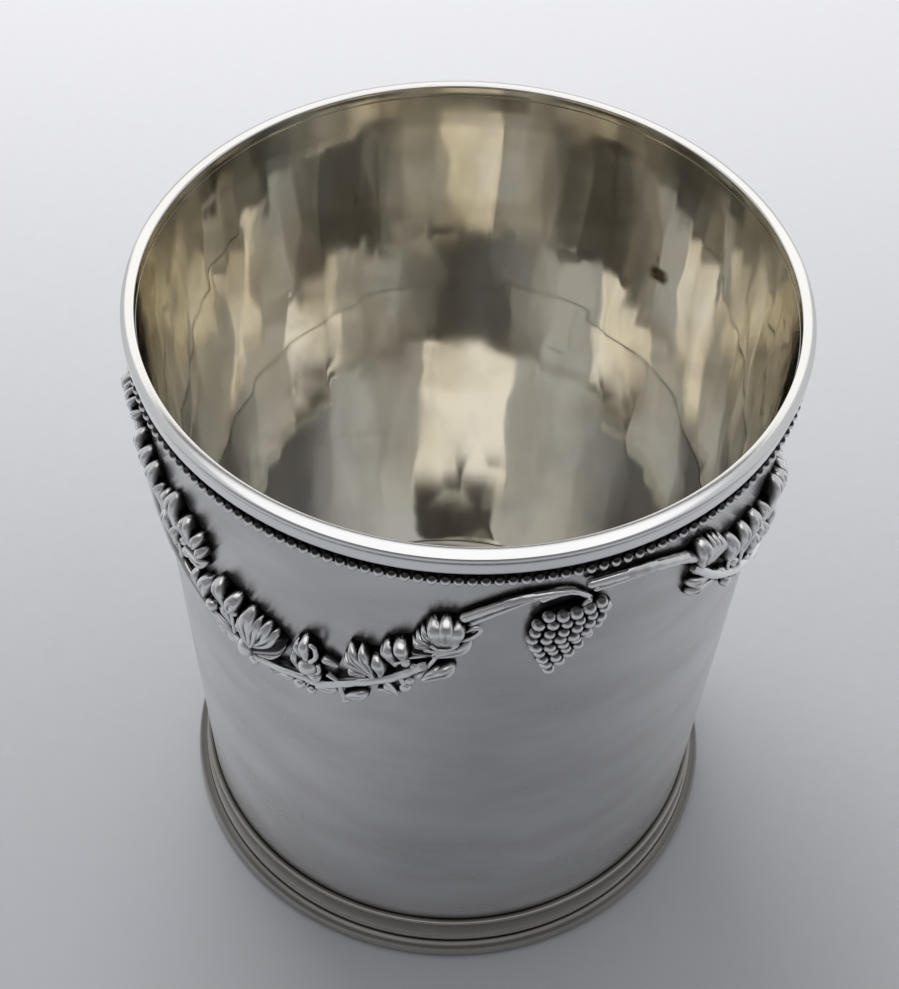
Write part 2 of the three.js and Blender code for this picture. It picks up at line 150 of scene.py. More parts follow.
def wall_radius(height):
    share = (height - wall_bottom) / (wall_top - wall_bottom)
    return wall_bottom_radius + (wall_top_radius - wall_bottom_radius) * share


garland_radius = wall_radius(bead_bottom - SWAG_DROP / 2)
half_swag = SWAG_STEP / 2 * garland_radius
sheet_top = bead_bottom - SHEET_GAP


def on_wall(points, turn):
    """Points of the pattern sheet, bent round the wall and turned about the beaker's axis."""
    height = sheet_top + points[:, 1]
    radius = wall_radius(height) + points[:, 2]
    angle = points[:, 0] / garland_radius + turn
    return np.column_stack([radius * np.sin(angle), -radius * np.cos(angle), height])


print("wall radius", round(wall_bottom_radius, 2), "to", round(wall_top_radius, 2))
print("half a swag", round(half_swag, 1))

# %% [markdown]
# ## Shells and pieces
#
# A shell is a closed skin: an array of points and a list of faces. Two kinds do almost everything here. A
# loft joins closed loops one after another and caps both ends, which suits leaves, stems and berries. A
# turned shell spins a closed section about the axis, which suits what a lathe or a drawn moulding would make.
# Modifiers could do both, but arrays let each point carry one more number, how dark the silver is there,
# from tarnish and from painted shade. A piece is one or more shells in one mesh.

# %% Helpers that make shells and pieces
SHARP_ANGLE = math.radians(50)


def lofted(loops, tarnish_and_shade=None):
    """A shell through closed loops of points, with its ends capped."""
    count, around = loops.shape[:2]
    tarnish_and_shade = np.zeros((count, around)) if tarnish_and_shade is None else tarnish_and_shade
    faces = []
    for row in range(count - 1):
        for k in range(around):
            here, there = row * around, (row + 1) * around
            faces.append((here + k, here + (k + 1) % around, there + (k + 1) % around, there + k))
    faces.append(tuple(reversed(range(around))))
    faces.append(tuple(range((count - 1) * around, count * around)))
    return loops.reshape(-1, 3), faces, tarnish_and_shade.reshape(-1)


def turned(section, segments):
    """A shell spun about the axis. The section gives radius, height, and tarnish with painted shade, at each
    corner.
    """
    section = np.asarray(section, float)
    rings = []
    for angle in np.linspace(0, 2 * math.pi, segments, endpoint=False):
        x, y = section[:, 0] * math.sin(angle), -section[:, 0] * math.cos(angle)
        rings.append(np.column_stack([x, y, section[:, 1]]))
    corners = len(section)
    faces = []
    for turn in range(segments):
        here, there = turn * corners, (turn + 1) % segments * corners
        for k in range(corners):
            after = (k + 1) % corners
            faces.append((here + k, there + k, there + after, here + after))
    return np.concatenate(rings), faces, np.tile(section[:, 2], segments)


def joined(shells):
    points, faces, tarnish_and_shade, first = [], [], [], 0
    for shell_points, shell_faces, shell_tarnish in shells:
        points.append(shell_points)
        faces.extend(tuple(corner + first for corner in face) for face in shell_faces)
        tarnish_and_shade.append(shell_tarnish)
        first += len(shell_points)
    return np.concatenate(points), faces, np.concatenate(tarnish_and_shade)


def make_piece(name, shell, node, material):
    """A mesh object that stands for a node and carries its tarnish and painted shade as a number at each
    point.
    """
    points, faces, tarnish_and_shade = shell
    mesh = bpy.data.meshes.new(name)
    mesh.from_pydata((points * MM).tolist(), [], faces)
    shaping = bmesh.new()
    shaping.from_mesh(mesh)
    bmesh.ops.recalc_face_normals(shaping, faces=shaping.faces)
    shaping.to_mesh(mesh)
    shaping.free()
    mesh.polygons.foreach_set("use_smooth", [True] * len(mesh.polygons))
    mesh.set_sharp_from_angle(angle=SHARP_ANGLE)
    layer = mesh.attributes.new("tarnish_and_shade", "FLOAT", "POINT")
    layer.data.foreach_set("value", np.clip(tarnish_and_shade, 0, 1).astype(np.float32))
    mesh.materials.append(material)
    piece = bpy.data.objects.new(name, mesh)
    bpy.context.scene.collection.objects.link(piece)
    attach(piece, "root")
    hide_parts(node)
    return piece


print("edges over", round(math.degrees(SHARP_ANGLE)), "degrees stay sharp")

# %% [markdown]
# ## Silver finishes
#
# Silver is a metal, so its colour sits in the reflections: Metallic is 1 and the base colour is what
# tarnish and painted shade change. Polished silver is a pale warm grey, and oxidised silver in the hollows is
# almost black. The number painted on each mesh, tarnish together with painted shade, mixes the two. Fine
# scratches come from stretched noise in the bump, and slow noise makes the polish uneven. The inside was never
# rubbed dull, so it is nearly a mirror, a little yellowed, with brown stains. Its bright and dark patches
# could be painted, but only real reflections bend as they should.

# %% Helpers that wire a finish
BRIGHT_SILVER = (0.97, 0.965, 0.95, 1)
SATIN_SILVER = (0.72, 0.712, 0.7, 1)
# Aged silver, painted darker as shade for the foot near the floor
AGED_AND_SHADED_SILVER = (0.52, 0.5, 0.45, 1)
# Oxide and painted shade both darken the silver towards this colour
OXIDE_AND_SHADE_DARK = (0.014, 0.013, 0.013, 1)
CLEAN_INSIDE = (0.91, 0.9, 0.87, 1)
YELLOWED_INSIDE = (0.88, 0.85, 0.775, 1)
BROWN_STAIN = (0.13, 0.105, 0.07, 1)


def add_node(tree, kind, **settings):
    node = tree.nodes.new(kind)
    for name, value in settings.items():
        setattr(node, name, value)
    return node


def put(tree, value, socket):
    """Link a socket to a socket, or write a plain value on it."""
    if isinstance(value, bpy.types.NodeSocket):
        tree.links.new(value, socket)
    else:
        socket.default_value = value


def mixed_colour(tree, share, first, second):
    mix = add_node(tree, "ShaderNodeMix", data_type="RGBA")
    for value, socket in zip((share, first, second), (mix.inputs[0], mix.inputs[6], mix.inputs[7])):
        put(tree, value, socket)
    return mix.outputs[2]


def mapped(tree, value, low, high, to_low, to_high, kind="LINEAR"):
    node = add_node(tree, "ShaderNodeMapRange", interpolation_type=kind)
    for number, socket in zip((value, low, high, to_low, to_high), node.inputs):
        put(tree, number, socket)
    return node.outputs[0]


def combined(tree, operation, first, second, clamp=False):
    node = add_node(tree, "ShaderNodeMath", operation=operation, use_clamp=clamp)
    put(tree, first, node.inputs[0])
    put(tree, second, node.inputs[1])
    return node.outputs[0]


def noise(tree, coordinates, scale, detail, stretch=(1, 1, 1)):
    mapping = add_node(tree, "ShaderNodeMapping")
    put(tree, stretch, mapping.inputs["Scale"])
    put(tree, coordinates, mapping.inputs["Vector"])
    texture = add_node(tree, "ShaderNodeTexNoise")
    put(tree, scale, texture.inputs["Scale"])
    put(tree, detail, texture.inputs["Detail"])
    put(tree, mapping.outputs[0], texture.inputs["Vector"])
    return texture.outputs[0]


print("silver colours from", BRIGHT_SILVER[0], "down to", OXIDE_AND_SHADE_DARK[0])

# %% Mix the silver finishes
BUMP_STRENGTH = 0.4
# Sizes of the noises, in waves to the metre
CLOUDS = 70
SCRATCHES = 300
GRAIN = 1400
YELLOWING = 38
STAINS = 55
SHEEN = 120
POLISH_LINES = 900


def metal(name):
    """A new metal material: its node tree, its shader, object coordinates and painted tarnish."""
    material = bpy.data.materials.new(name)
    material.use_nodes = True
    tree = material.node_tree
    shader = tree.nodes["Principled BSDF"]
    shader.inputs["Metallic"].default_value = 1
    place = add_node(tree, "ShaderNodeTexCoord").outputs["Object"]
    tarnish_and_shade = add_node(tree, "ShaderNodeAttribute", attribute_name="tarnish_and_shade").outputs["Fac"]
    return material, tree, shader, place, tarnish_and_shade


def fine_bump(tree, shader, height, depth):
    bump = add_node(tree, "ShaderNodeBump")
    put(tree, BUMP_STRENGTH, bump.inputs["Strength"])
    put(tree, depth * MM, bump.inputs["Distance"])
    put(tree, height, bump.inputs["Height"])
    put(tree, bump.outputs[0], shader.inputs["Normal"])


def silver(name, clean, polish, dull, grain_depth, cloudy=0.08):
    """Tarnished silver, also darkened by painted shade. polish and dull are the roughness of clean and of
    oxidised metal, grain_depth the height of its scratches in millimetres, and cloudy the most tarnish that
    slow noise adds."""
    material, tree, shader, place, tarnish_and_shade = metal(name)
    cloud = mapped(tree, noise(tree, place, CLOUDS, 4, (1, 1, 2.2)), 0.3, 0.7, 0, cloudy, "SMOOTHSTEP")
    # The painted tarnish and shade, with cloudy tarnish, darken the base colour and dull the polish
    tarnish_and_shade_total = combined(tree, "ADD", tarnish_and_shade, cloud, True)
    put(tree, mixed_colour(tree, tarnish_and_shade_total, clean, OXIDE_AND_SHADE_DARK), shader.inputs["Base Color"])
    put(tree, mapped(tree, tarnish_and_shade_total, 0, 1, polish, dull), shader.inputs["Roughness"])
    scratches = noise(tree, place, SCRATCHES, 3, (1, 1, 7))
    grain = combined(tree, "ADD", scratches, noise(tree, place, GRAIN, 2))
    fine_bump(tree, shader, grain, grain_depth)
    return material


def inside_silver():
    """The inside: nearly a mirror, yellowed unevenly, with brown stains where it is painted tarnished."""
    material, tree, shader, place, tarnish_and_shade = metal("planished_inside_silver")
    yellowing = mapped(tree, noise(tree, place, YELLOWING, 3, (1, 1, 0.5)), 0.35, 0.65, 0, 1, "SMOOTHSTEP")
    clean = mixed_colour(tree, yellowing, CLEAN_INSIDE, YELLOWED_INSIDE)
    cloud = mapped(tree, noise(tree, place, STAINS, 5, (1, 1, 0.45)), 0.5, 0.66, 0, 0.2, "SMOOTHSTEP")
    stain = combined(tree, "ADD", tarnish_and_shade, cloud, True)
    put(tree, mixed_colour(tree, stain, clean, BROWN_STAIN), shader.inputs["Base Color"])
    sheen = mapped(tree, noise(tree, place, SHEEN, 4, (1, 1, 0.4)), 0.35, 0.65, 0.02, 0.06, "SMOOTHSTEP")
    dulled = mapped(tree, stain, 0, 1, 0, 0.14)
    put(tree, combined(tree, "ADD", sheen, dulled), shader.inputs["Roughness"])
    fine_bump(tree, shader, noise(tree, place, POLISH_LINES, 3, (1, 1, 0.15)), 0.003)
    return material


wall_finish = silver("satin_wall_silver", SATIN_SILVER, 0.24, 0.5, 0.008, 0.14)
inside_finish = inside_silver()
lip_finish = silver("bright_lip_silver", BRIGHT_SILVER, 0.13, 0.45, 0.003, 0.03)
bead_finish = silver("oxidised_and_shaded_bead_silver", BRIGHT_SILVER, 0.16, 0.5, 0.003, 0.04)
garland_finish = silver("cast_garland_silver", BRIGHT_SILVER, 0.22, 0.55, 0.006, 0.03)
foot_finish = silver("drawn_foot_silver", AGED_AND_SHADED_SILVER, 0.22, 0.5, 0.005)
print("silver finishes:", len(bpy.data.materials))

# %% [markdown]
# ## Castings of the garland
#
# Each leaf was cast in a mould and soldered on, so it is a thick low relief with a flat back. A leaf could be
# sculpted, but lobes drawn one by one give the same crisp cuts: each lobe is a loft along its midrib, domed
# across and grooved down the middle. Its rims and its tip roll down near the wall. Its rims get painted shade,
# its short sides are painted dark as shade and oxide, and a scooped lobe is darker inside. Lobes that overlap
# make the leaf. A lobe runs from its root to its tip on the pattern sheet.

# %% Helpers that draw lobes
BACK = -0.06
LOBE_REACH = 0.92
LOBE_ENDS = (0.002, 0.998)
LEAST_WIDTH = 0.02
TIP_ROLL = 0.85
SIDE_ROLL = 0.6
LOW_EDGE = 0.45
DOME_POWER = 3.6
RIM_POWER = 8
GROOVE_WIDTH = 0.16
BLACK_CUT = 0.2
SCOOP_DARKENING = 0.95
RIM_SHADE = 0.92
LOBE_ROWS = 20
LOBE_ACROSS = 15
# The sides' places across the lobe and their share of the rim's height
LOBE_SIDES = ((1.05, 0.5), (1.1, 0), (-1.1, 0), (-1.05, 0.5))


def smooth_step(low, high, value):
    share = np.clip((value - low) / (high - low), 0, 1)
    return share * share * (3 - 2 * share)


def lobe(root, tip, width, lift, groove, drop, bow=0.0, blunt=0.42, neck=0.45, belly=0.68):
    """A leaf lobe. lift is its height over the wall at root, belly and tip, groove the depth of its midrib's
    cut, drop how far its rims roll down, bow how far the midrib swings to its left, blunt the tip's shape
    (0.4 is round, 1 is pointed), neck the root's share of the width, and belly the place of the widest part.
    A negative drop makes a scoop with raised rims."""
    root, tip = np.array(root, float), np.array(tip, float)
    along = LOBE_REACH * (tip - root)
    left = np.array([-along[1], along[0]]) / np.hypot(*along)
    share = (1 - np.cos(np.linspace(0, math.pi, LOBE_ROWS))) / 2
    share = np.clip(share, *LOBE_ENDS)
    middle = root + share[:, None] * along + (bow * 4 * share * (1 - share))[:, None] * left
    to_belly = np.clip(share / belly, 0, 1)
    to_tip = np.clip((share - belly) / (1 - belly), 0, 1)
    widths = (neck + (1 - neck) * np.sin(math.pi / 2 * to_belly)) * (1 - to_tip**2) ** blunt
    half = width / 2 * np.maximum(widths, LEAST_WIDTH)
    tip_fall = max(drop, 0) + TIP_ROLL * max(lift[2] - max(drop, 0) - LOW_EDGE, 0)
    height = np.interp(share, (0, belly, 1), lift) - tip_fall * to_tip**3
    t = np.sin(np.linspace(-1, 1, LOBE_ACROSS) * math.pi / 2)
    # Darker inside a scoop, and painted shade along the rims
    scoop = SCOOP_DARKENING * smooth_step(0.9, 0.6, np.abs(t)) * (drop < 0)
    outline = RIM_SHADE * smooth_step(0.8, 0.96, np.abs(t))
    shade = np.maximum(scoop, outline)
    loops, dark = [], []
    for row in range(LOBE_ROWS):
        cut = groove * math.sin(math.pi * min(1, 1.1 * share[row])) * np.exp(-((t / GROOVE_WIDTH) ** 2))
        side_fall = SIDE_ROLL * max(height[row] - drop - LOW_EDGE, 0) * (drop > 0)
        dome = height[row] - drop * np.abs(t) ** DOME_POWER - side_fall * np.abs(t) ** RIM_POWER - cut
        # The sides are painted fully dark, as shade and oxide
        dark.append([*np.maximum(np.clip(cut / BLACK_CUT, 0, 1), shade), *[1] * len(LOBE_SIDES)])
        top = np.column_stack([middle[row] + (t * half[row])[:, None] * left, dome])
        sides = []
        for side, level in LOBE_SIDES:
            rim = dome[-1] if side > 0 else dome[0]
            sides.append([*(middle[row] + side * half[row] * left), BACK + level * (rim - BACK)])
        loops.append(np.vstack([top, sides]))
    return lofted(np.array(loops), np.array(dark))


print("a lobe has", LOBE_ROWS * (LOBE_ACROSS + len(LOBE_SIDES)), "points")

# %% [markdown]
# ## Stems and berries
#
# The stems are rods with bark ridges, and the berries are small round knobs, some dimpled. A bevelled curve
# and a sphere would come close. Lofts are used again, because they take the ridges, the dimple and the painted
# shade in one go.

# %% Helpers that draw stems and berries
STEM_SIDES = 12
BLUNT_END = 0.6
BERRY_SIDES = 18
BERRY_ROWS = 13
BERRY_POLE = 0.1
DIMPLE_SPREAD = 0.45
CRESCENT_EDGE = 0.12
# The way to the middle of a berry's painted shade, on its upper side: up the wall, and out from it
SHADE_POLE = (0.966, 0.26)


def smooth_route(points, steps):
    """Points of a curve through given ones (Catmull-Rom)."""
    points = np.array(points, float)
    ends = np.vstack([2 * points[0] - points[1], points, 2 * points[-1] - points[-2]])
    places = np.linspace(0, len(points) - 1, steps)
    span = np.minimum(places.astype(int), len(points) - 2)
    t = (places - span)[:, None]
    a, b, c, d = (ends[span + k] for k in range(4))
    return 0.5 * (2 * b + (c - a) * t + (2 * a - 5 * b + 4 * c - d) * t**2 + (3 * b - a - 3 * c + d) * t**3)


def stem(points, thick, end, lift, bark=0.0, steps=28):
    """A round stem through (x, y) points. thick and end are its radius at both ends, lift the height of
    its middle line, and bark the depth of the ridges that run along it."""
    route = smooth_route(points, steps)
    ahead = np.gradient(route, axis=0)
    ahead /= np.hypot(ahead[:, 0], ahead[:, 1])[:, None]
    side = np.column_stack([-ahead[:, 1], ahead[:, 0]])
    radius = np.linspace(thick, end, steps)
    radius[[0, -1]] *= BLUNT_END
    angles = np.linspace(0, 2 * math.pi, STEM_SIDES, endpoint=False)
    loops = []
    for row in range(steps):
        knots = 0.6 * math.sin(1.3 * row) + 0.4 * math.sin(0.31 * row)
        ridges = 1 + bark * (np.sin(4 * angles + 0.08 * row) + knots)
        ring = route[row] + (radius[row] * ridges * np.cos(angles))[:, None] * side[row]
        loops.append(np.column_stack([ring, lift + radius[row] * ridges * np.sin(angles)]))
    return lofted(np.array(loops))


def berry(place, radius, lift, stretch=1.0, dimple=0.0, shade=0.0, shade_reach=0.75):
    """A round berry, dimpled on its outer side where a flower sat. Its upper side gets painted shade as dark
    as shade, and a crescent at its lower side is left bright as a painted highlight."""
    angles = np.linspace(0, 2 * math.pi, BERRY_SIDES, endpoint=False)
    loops, dark = [], []
    for tilt in np.linspace(BERRY_POLE, math.pi - BERRY_POLE, BERRY_ROWS):
        ring = radius * math.sin(tilt)
        hollow = dimple * math.exp(-((tilt / DIMPLE_SPREAD) ** 2))
        z = np.full(len(angles), lift + radius * math.cos(tilt) - hollow)
        x, y = place[0] + ring * np.cos(angles), place[1] + stretch * ring * np.sin(angles)
        loops.append(np.column_stack([x, y, z]))
        across, up, out = math.sin(tilt) * np.cos(angles), math.sin(tilt) * np.sin(angles), math.cos(tilt)
        from_top = np.sqrt(across**2 + (up - SHADE_POLE[0]) ** 2 + (out - SHADE_POLE[1]) ** 2)
        # Painted shade on the upper side, fading to a painted highlight crescent below
        dark.append(shade * smooth_step(shade_reach + CRESCENT_EDGE, shade_reach - CRESCENT_EDGE, from_top))
    return lofted(np.array(loops), np.array(dark))


print("a berry has", BERRY_ROWS * BERRY_SIDES, "points")

# %% [markdown]
# ## The leaves and buds, lobe by lobe
#
# The real castings are all different. The right half has a rose-like leaf at its end, a leaf with deep cuts,
# a tulip bud with a round knob, and a broad leaf fanned like a hand. Each could be sculpted from a block, but
# a list of lobes is easy to read and to correct. Each list is one casting, in millimetres on the sheet.

# %% Draw the right half of a swag
RIGHT_LEAVES = {
    "right_palm_leaf": [
        lobe((27.0, -10.4), (26.9, -6.2), 3.9, (1.3, 2.0, 1.9), 0, 0.7, 0, 0.5, 0.5, 0.55),
        lobe((26.7, -9.6), (25.8, -4.8), 1.9, (1.7, 2.3, 2.1), 0.0, 0.5, 0.1),
        lobe((27.1, -9.6), (27.1, -4.4), 1.8, (1.7, 2.45, 2.2), 0.1, 0.5),
        lobe((27.5, -9.6), (28.4, -4.9), 1.9, (1.7, 2.3, 2.1), 0.0, 0.5, -0.1),
        stem([(25.6, -8.6), (26.4, -9.3), (27.6, -9.1), (28.4, -8.2)], 0.2, 0.15, 1.95, 0, 20),
        lobe((26.3, -9.6), (24.6, -6.6), 1.05, (1.4, 1.9, 1.7), 0.25, 0.4, 0.1),
        lobe((26.1, -9.8), (23.9, -7.9), 0.95, (1.4, 1.9, 1.6), 0.25, 0.4, 0.1),
        lobe((25.9, -10.0), (23.4, -9.2), 0.9, (1.4, 1.8, 1.5), 0.25, 0.4, 0.1),
        lobe((26.2, -11.2), (23.2, -10.6), 1.5, (1.3, 1.5, 1.6), 0.5, -0.1, -0.2),
    ],
    "trident_leaf": [
        lobe((19.4, -17.8), (16.6, -12.6), 1.45, (1.4, 2.1, 1.9), 0.3, 0.5, 0, 0.6),
        lobe((18.8, -17.4), (15.9, -15.0), 1.1, (1.3, 1.9, 1.6), 0.2, 0.45, 0.15, 0.6),
        lobe((18.6, -17.9), (16.2, -17.4), 1.05, (1.3, 1.7, 1.4), 0.2, 0.45, 0.1),
        lobe((19.3, -17.2), (18.0, -12.4), 1.3, (1.4, 2.05, 1.9), 0.3, 0.5, -0.15, 0.6),
        lobe((20.2, -17.3), (19.6, -13.2), 1.6, (1.3, 2.1, 1.7), 0.0, 0.7, -0.3),
    ],
    "long_bud": [
        berry((11.8, -19.7), 1.1, 1.2, 1.12),
        stem([(10.8, -18.8), (10.6, -20.3), (11.8, -21.4), (13.0, -20.4), (12.9, -18.9)], 0.3, 0.28, 1.05),
        lobe((11.8, -18.8), (11.6, -14.3), 1.35, (1.6, 2.2, 1.9), 0.0, 0.5),
        lobe((11.1, -18.6), (10.6, -15.4), 0.8, (1.4, 1.9, 1.6), 0.0, 0.4, 0.1),
        stem([(12.2, -18.4), (13.0, -17.0), (13.0, -15.4), (12.4, -14.8)], 0.32, 0.25, 1.5),
        lobe((10.8, -22.5), (10.0, -17.6), 1.1, (1.0, 1.7, 1.5), 0.15, 0.4, 0.15),
        lobe((11.2, -22.4), (13.4, -21.4), 1.1, (1.0, 1.6, 1.4), 0.15, 0.4, -0.1),
    ],
    "right_buds": [
        lobe((21.9, -14.6), (21.0, -10.3), 1.45, (1.3, 2.0, 1.8), 0.0, 0.6, 0.1),
        lobe((21.3, -14.3), (20.5, -11.2), 0.8, (1.1, 1.5, 1.3), 0.0, 0.4, 0.2),
        lobe((22.8, -13.2), (22.4, -9.5), 1.75, (1.5, 2.3, 2.0), 0.0, 0.7),
        stem([(21.9, -13.4), (22.7, -12.7), (23.5, -12.2)], 0.2, 0.15, 1.75),
    ],
    "right_under_leaf": [
        lobe((24.9, -16.9), (28.4, -13.8), 1.9, (1.2, 1.7, 1.4), 0.3, 0.5, 0.1),
        lobe((25.0, -16.2), (26.9, -13.9), 1.0, (1.2, 1.6, 1.4), 0.2, 0.4, 0.2),
    ],
    "broad_leaf": [
        lobe((3.6, -22.6), (4.5, -14.3), 2.2, (1.6, 2.3, 2.1), 0.2, 0.4, 0.1),
        lobe((3.9, -22.2), (5.8, -15.2), 1.8, (1.6, 2.2, 2.0), 0.2, 0.4),
        lobe((3.0, -22.6), (3.3, -16.2), 1.5, (1.5, 2.0, 1.8), 0.1, 0.4, 0.1),
        lobe((4.5, -21.4), (7.0, -15.4), 1.6, (1.5, 2.05, 1.7), 0.25, 0.4, -0.2),
        lobe((4.3, -21.9), (8.1, -16.2), 1.7, (1.5, 2.0, 1.6), 0.25, 0.4, -0.3),
        lobe((4.0, -22.6), (9.2, -17.4), 2.3, (1.4, 1.55, 1.6), 0.6, -0.3, 0.2),
        lobe((4.2, -23.4), (8.3, -20.4), 1.3, (1.3, 1.75, 1.4), 0.2, 0.45),
        berry((3.0, -23.4), 1.2, 0.9, 1.25),
    ],
}
print("right half:", {name: len(shells) for name, shells in RIGHT_LEAVES.items()}, "shells")

# %% [markdown]
# ## The left half
#
# Up the left side the leaves are smaller, stand upright and crowd each other. They could be copies of one
# leaf, but on the real garland no two match, so each has lobes of its own.

# %% Draw the left half of a swag
LEFT_LEAVES = {
    "tulip_leaf": [
        lobe((0.8, -18.6), (-0.5, -13.1), 1.9, (1.5, 2.25, 2.0), 0.2, 0.5),
        lobe((0.6, -18.8), (2.8, -13.7), 1.9, (1.5, 2.25, 2.0), 0.2, 0.5),
        lobe((1.0, -19.0), (2.6, -16.4), 1.1, (1.2, 1.7, 1.4), 0.1, 0.5, -0.1),
    ],
    "tucked_leaf": [
        lobe((-4.4, -21.0), (-2.3, -15.4), 1.9, (1.3, 2.0, 1.7), 0.2, 0.6, 0.2),
        lobe((-4.2, -20.6), (-5.4, -16.4), 1.4, (1.3, 1.8, 1.5), 0.2, 0.5, 0.2),
        berry((-2.6, -20.7), 0.85, 0.95),
    ],
    "left_vine_leaf": [
        lobe((-5.0, -12.0), (-5.3, -7.2), 2.0, (1.5, 2.0, 1.8), 0.5, 0.3),
        lobe((-4.6, -12.2), (-2.9, -8.3), 1.4, (1.4, 1.9, 1.6), 0.2, 0.5, -0.1),
        lobe((-4.2, -13.2), (-2.2, -9.9), 1.4, (1.4, 1.9, 1.6), 0.2, 0.5, -0.1),
        lobe((-6.6, -14.4), (-2.3, -13.3), 1.9, (1.4, 1.7, 1.6), 0.5, 0.05, -0.2, 0.7),
        lobe((-5.6, -12.6), (-6.7, -9.5), 1.2, (1.3, 1.7, 1.4), 0.2, 0.5, 0.1),
    ],
    "left_long_leaf": [
        lobe((-8.6, -12.6), (-7.5, -5.5), 2.2, (1.4, 2.15, 1.8), 0.45, 0.3, -0.2),
        lobe((-8.9, -11.9), (-10.4, -7.6), 1.4, (1.3, 1.8, 1.5), 0.2, 0.5, 0.2),
        lobe((-8.2, -12.0), (-6.5, -9.1), 1.4, (1.3, 1.8, 1.5), 0.2, 0.5, -0.2),
    ],
    "left_lance_leaf": [
        lobe((-13.3, -12.4), (-13.0, -5.9), 2.1, (1.4, 2.15, 1.8), 0.25, 0.5, 0.1),
        lobe((-13.4, -11.6), (-14.9, -7.8), 1.4, (1.3, 1.8, 1.5), 0.2, 0.5, 0.2),
        lobe((-13.0, -11.6), (-11.4, -8.2), 1.4, (1.3, 1.8, 1.5), 0.2, 0.5, -0.2),
    ],
    "middle_under_leaf": [
        lobe((-9.9, -17.0), (-11.4, -11.8), 2.0, (1.2, 1.9, 1.5), 0.3, 0.5, 0.2),
        lobe((-9.8, -16.6), (-8.8, -12.6), 1.4, (1.2, 1.8, 1.5), 0.2, 0.5, -0.2),
    ],
    "left_buds": [
        lobe((-16.6, -11.5), (-18.3, -5.4), 1.9, (1.3, 2.15, 1.8), 0.2, 0.5, 0.1),
        lobe((-16.0, -11.7), (-15.3, -5.8), 2.0, (1.3, 2.15, 1.8), 0.3, 0.6),
        stem([(-16.4, -11.8), (-17.6, -9.6), (-18.0, -7.6)], 0.25, 0.2, 0.9),
    ],
    "left_palm_leaf": [
        lobe((-22.4, -7.1), (-23.6, -1.7), 2.1, (1.4, 2.25, 1.9), 0.25, 0.5, 0.1),
        lobe((-21.9, -7.0), (-22.3, -1.9), 0.95, (1.5, 2.0, 1.8), 0.0, 0.35),
        lobe((-21.5, -7.0), (-21.5, -2.3), 0.95, (1.5, 2.0, 1.8), 0.0, 0.35),
        lobe((-21.1, -7.1), (-20.5, -3.0), 0.95, (1.5, 1.95, 1.7), 0.0, 0.35),
        lobe((-20.9, -7.5), (-19.5, -4.5), 1.4, (1.3, 1.8, 1.5), 0.15, 0.5, -0.1),
    ],
    "left_under_leaf": [
        lobe((-20.2, -10.8), (-24.2, -9.4), 1.6, (1.2, 1.7, 1.4), 0.25, 0.5, -0.2),
        lobe((-19.9, -12.2), (-24.0, -11.4), 1.7, (1.2, 1.7, 1.3), 0.25, 0.5, -0.2),
    ],
}
print("left half:", {name: len(shells) for name, shells in LEFT_LEAVES.items()}, "shells")

# %% [markdown]
# ## Vine, twig and grapes
#
# The vine is a gnarled rod with knots, side shoots and berries hanging under it. The twig over each peak is
# two bark-grooved strands with a little openwork at its right. The grapes are rows of round berries on a
# core. A metaball could fuse them, but on the casting each grape is a clear round bead.

# %% Draw the vine, the arch twig and the grapes
VINE_ROUTE = [
    (-23.7, -6.6), (-19.8, -11.2), (-15.0, -15.3), (-7.9, -19.9), (-1.2, -22.8), (4.7, -24.2),
    (10.3, -23.0), (13.3, -22.6), (16.6, -20.5), (21.7, -17.2), (25.3, -13.8),
]
VINE_SHOOTS = [
    [(15.4, -21.2), (15.5, -22.6), (15.9, -24.6)],
    [(13.9, -20.4), (14.6, -20.8), (15.4, -21.2)],
    [(24.3, -16.6), (25.2, -14.6), (26.4, -11.8)],
    [(-2.9, -22.0), (-0.6, -22.4), (1.6, -23.3)],
    [(-16.4, -14.0), (-16.5, -12.6), (-16.3, -11.4)],
    [(-13.2, -16.4), (-13.3, -14.2), (-13.3, -12.0)],
    [(-9.0, -19.0), (-8.9, -15.6), (-8.6, -12.2)],
    [(-22.4, -8.2), (-22.0, -7.4), (-21.7, -6.6)],
    [(19.0, -18.9), (19.3, -18.2), (19.6, -17.2)],
    [(25.2, -11.4), (23.6, -12.4), (22.6, -13.6)],
    [(0.9, -23.4), (0.8, -21.0), (0.7, -18.8)],
    [(20.6, -18.0), (21.2, -19.2), (21.9, -20.6)],
    [(22.3, -17.0), (22.7, -18.2), (22.9, -19.0)],
]
VINE_BERRIES = [
    (22.9, -14.3, 0.62), (23.9, -14.9, 0.6), (21.0, -19.8, 0.6), (22.9, -19.1, 0.7), (21.9, -21.0, 0.42),
    (10.2, -25.0, 0.75), (11.6, -25.6, 0.6), (2.0, -25.2, 0.8), (3.6, -25.8, 0.7), (0.2, -24.4, 0.7),
    (-15.6, -16.6, 0.75), (-1.6, -24.6, 0.65), (23.3, -17.8, 0.6), (-5.4, -22.3, 0.65),
]
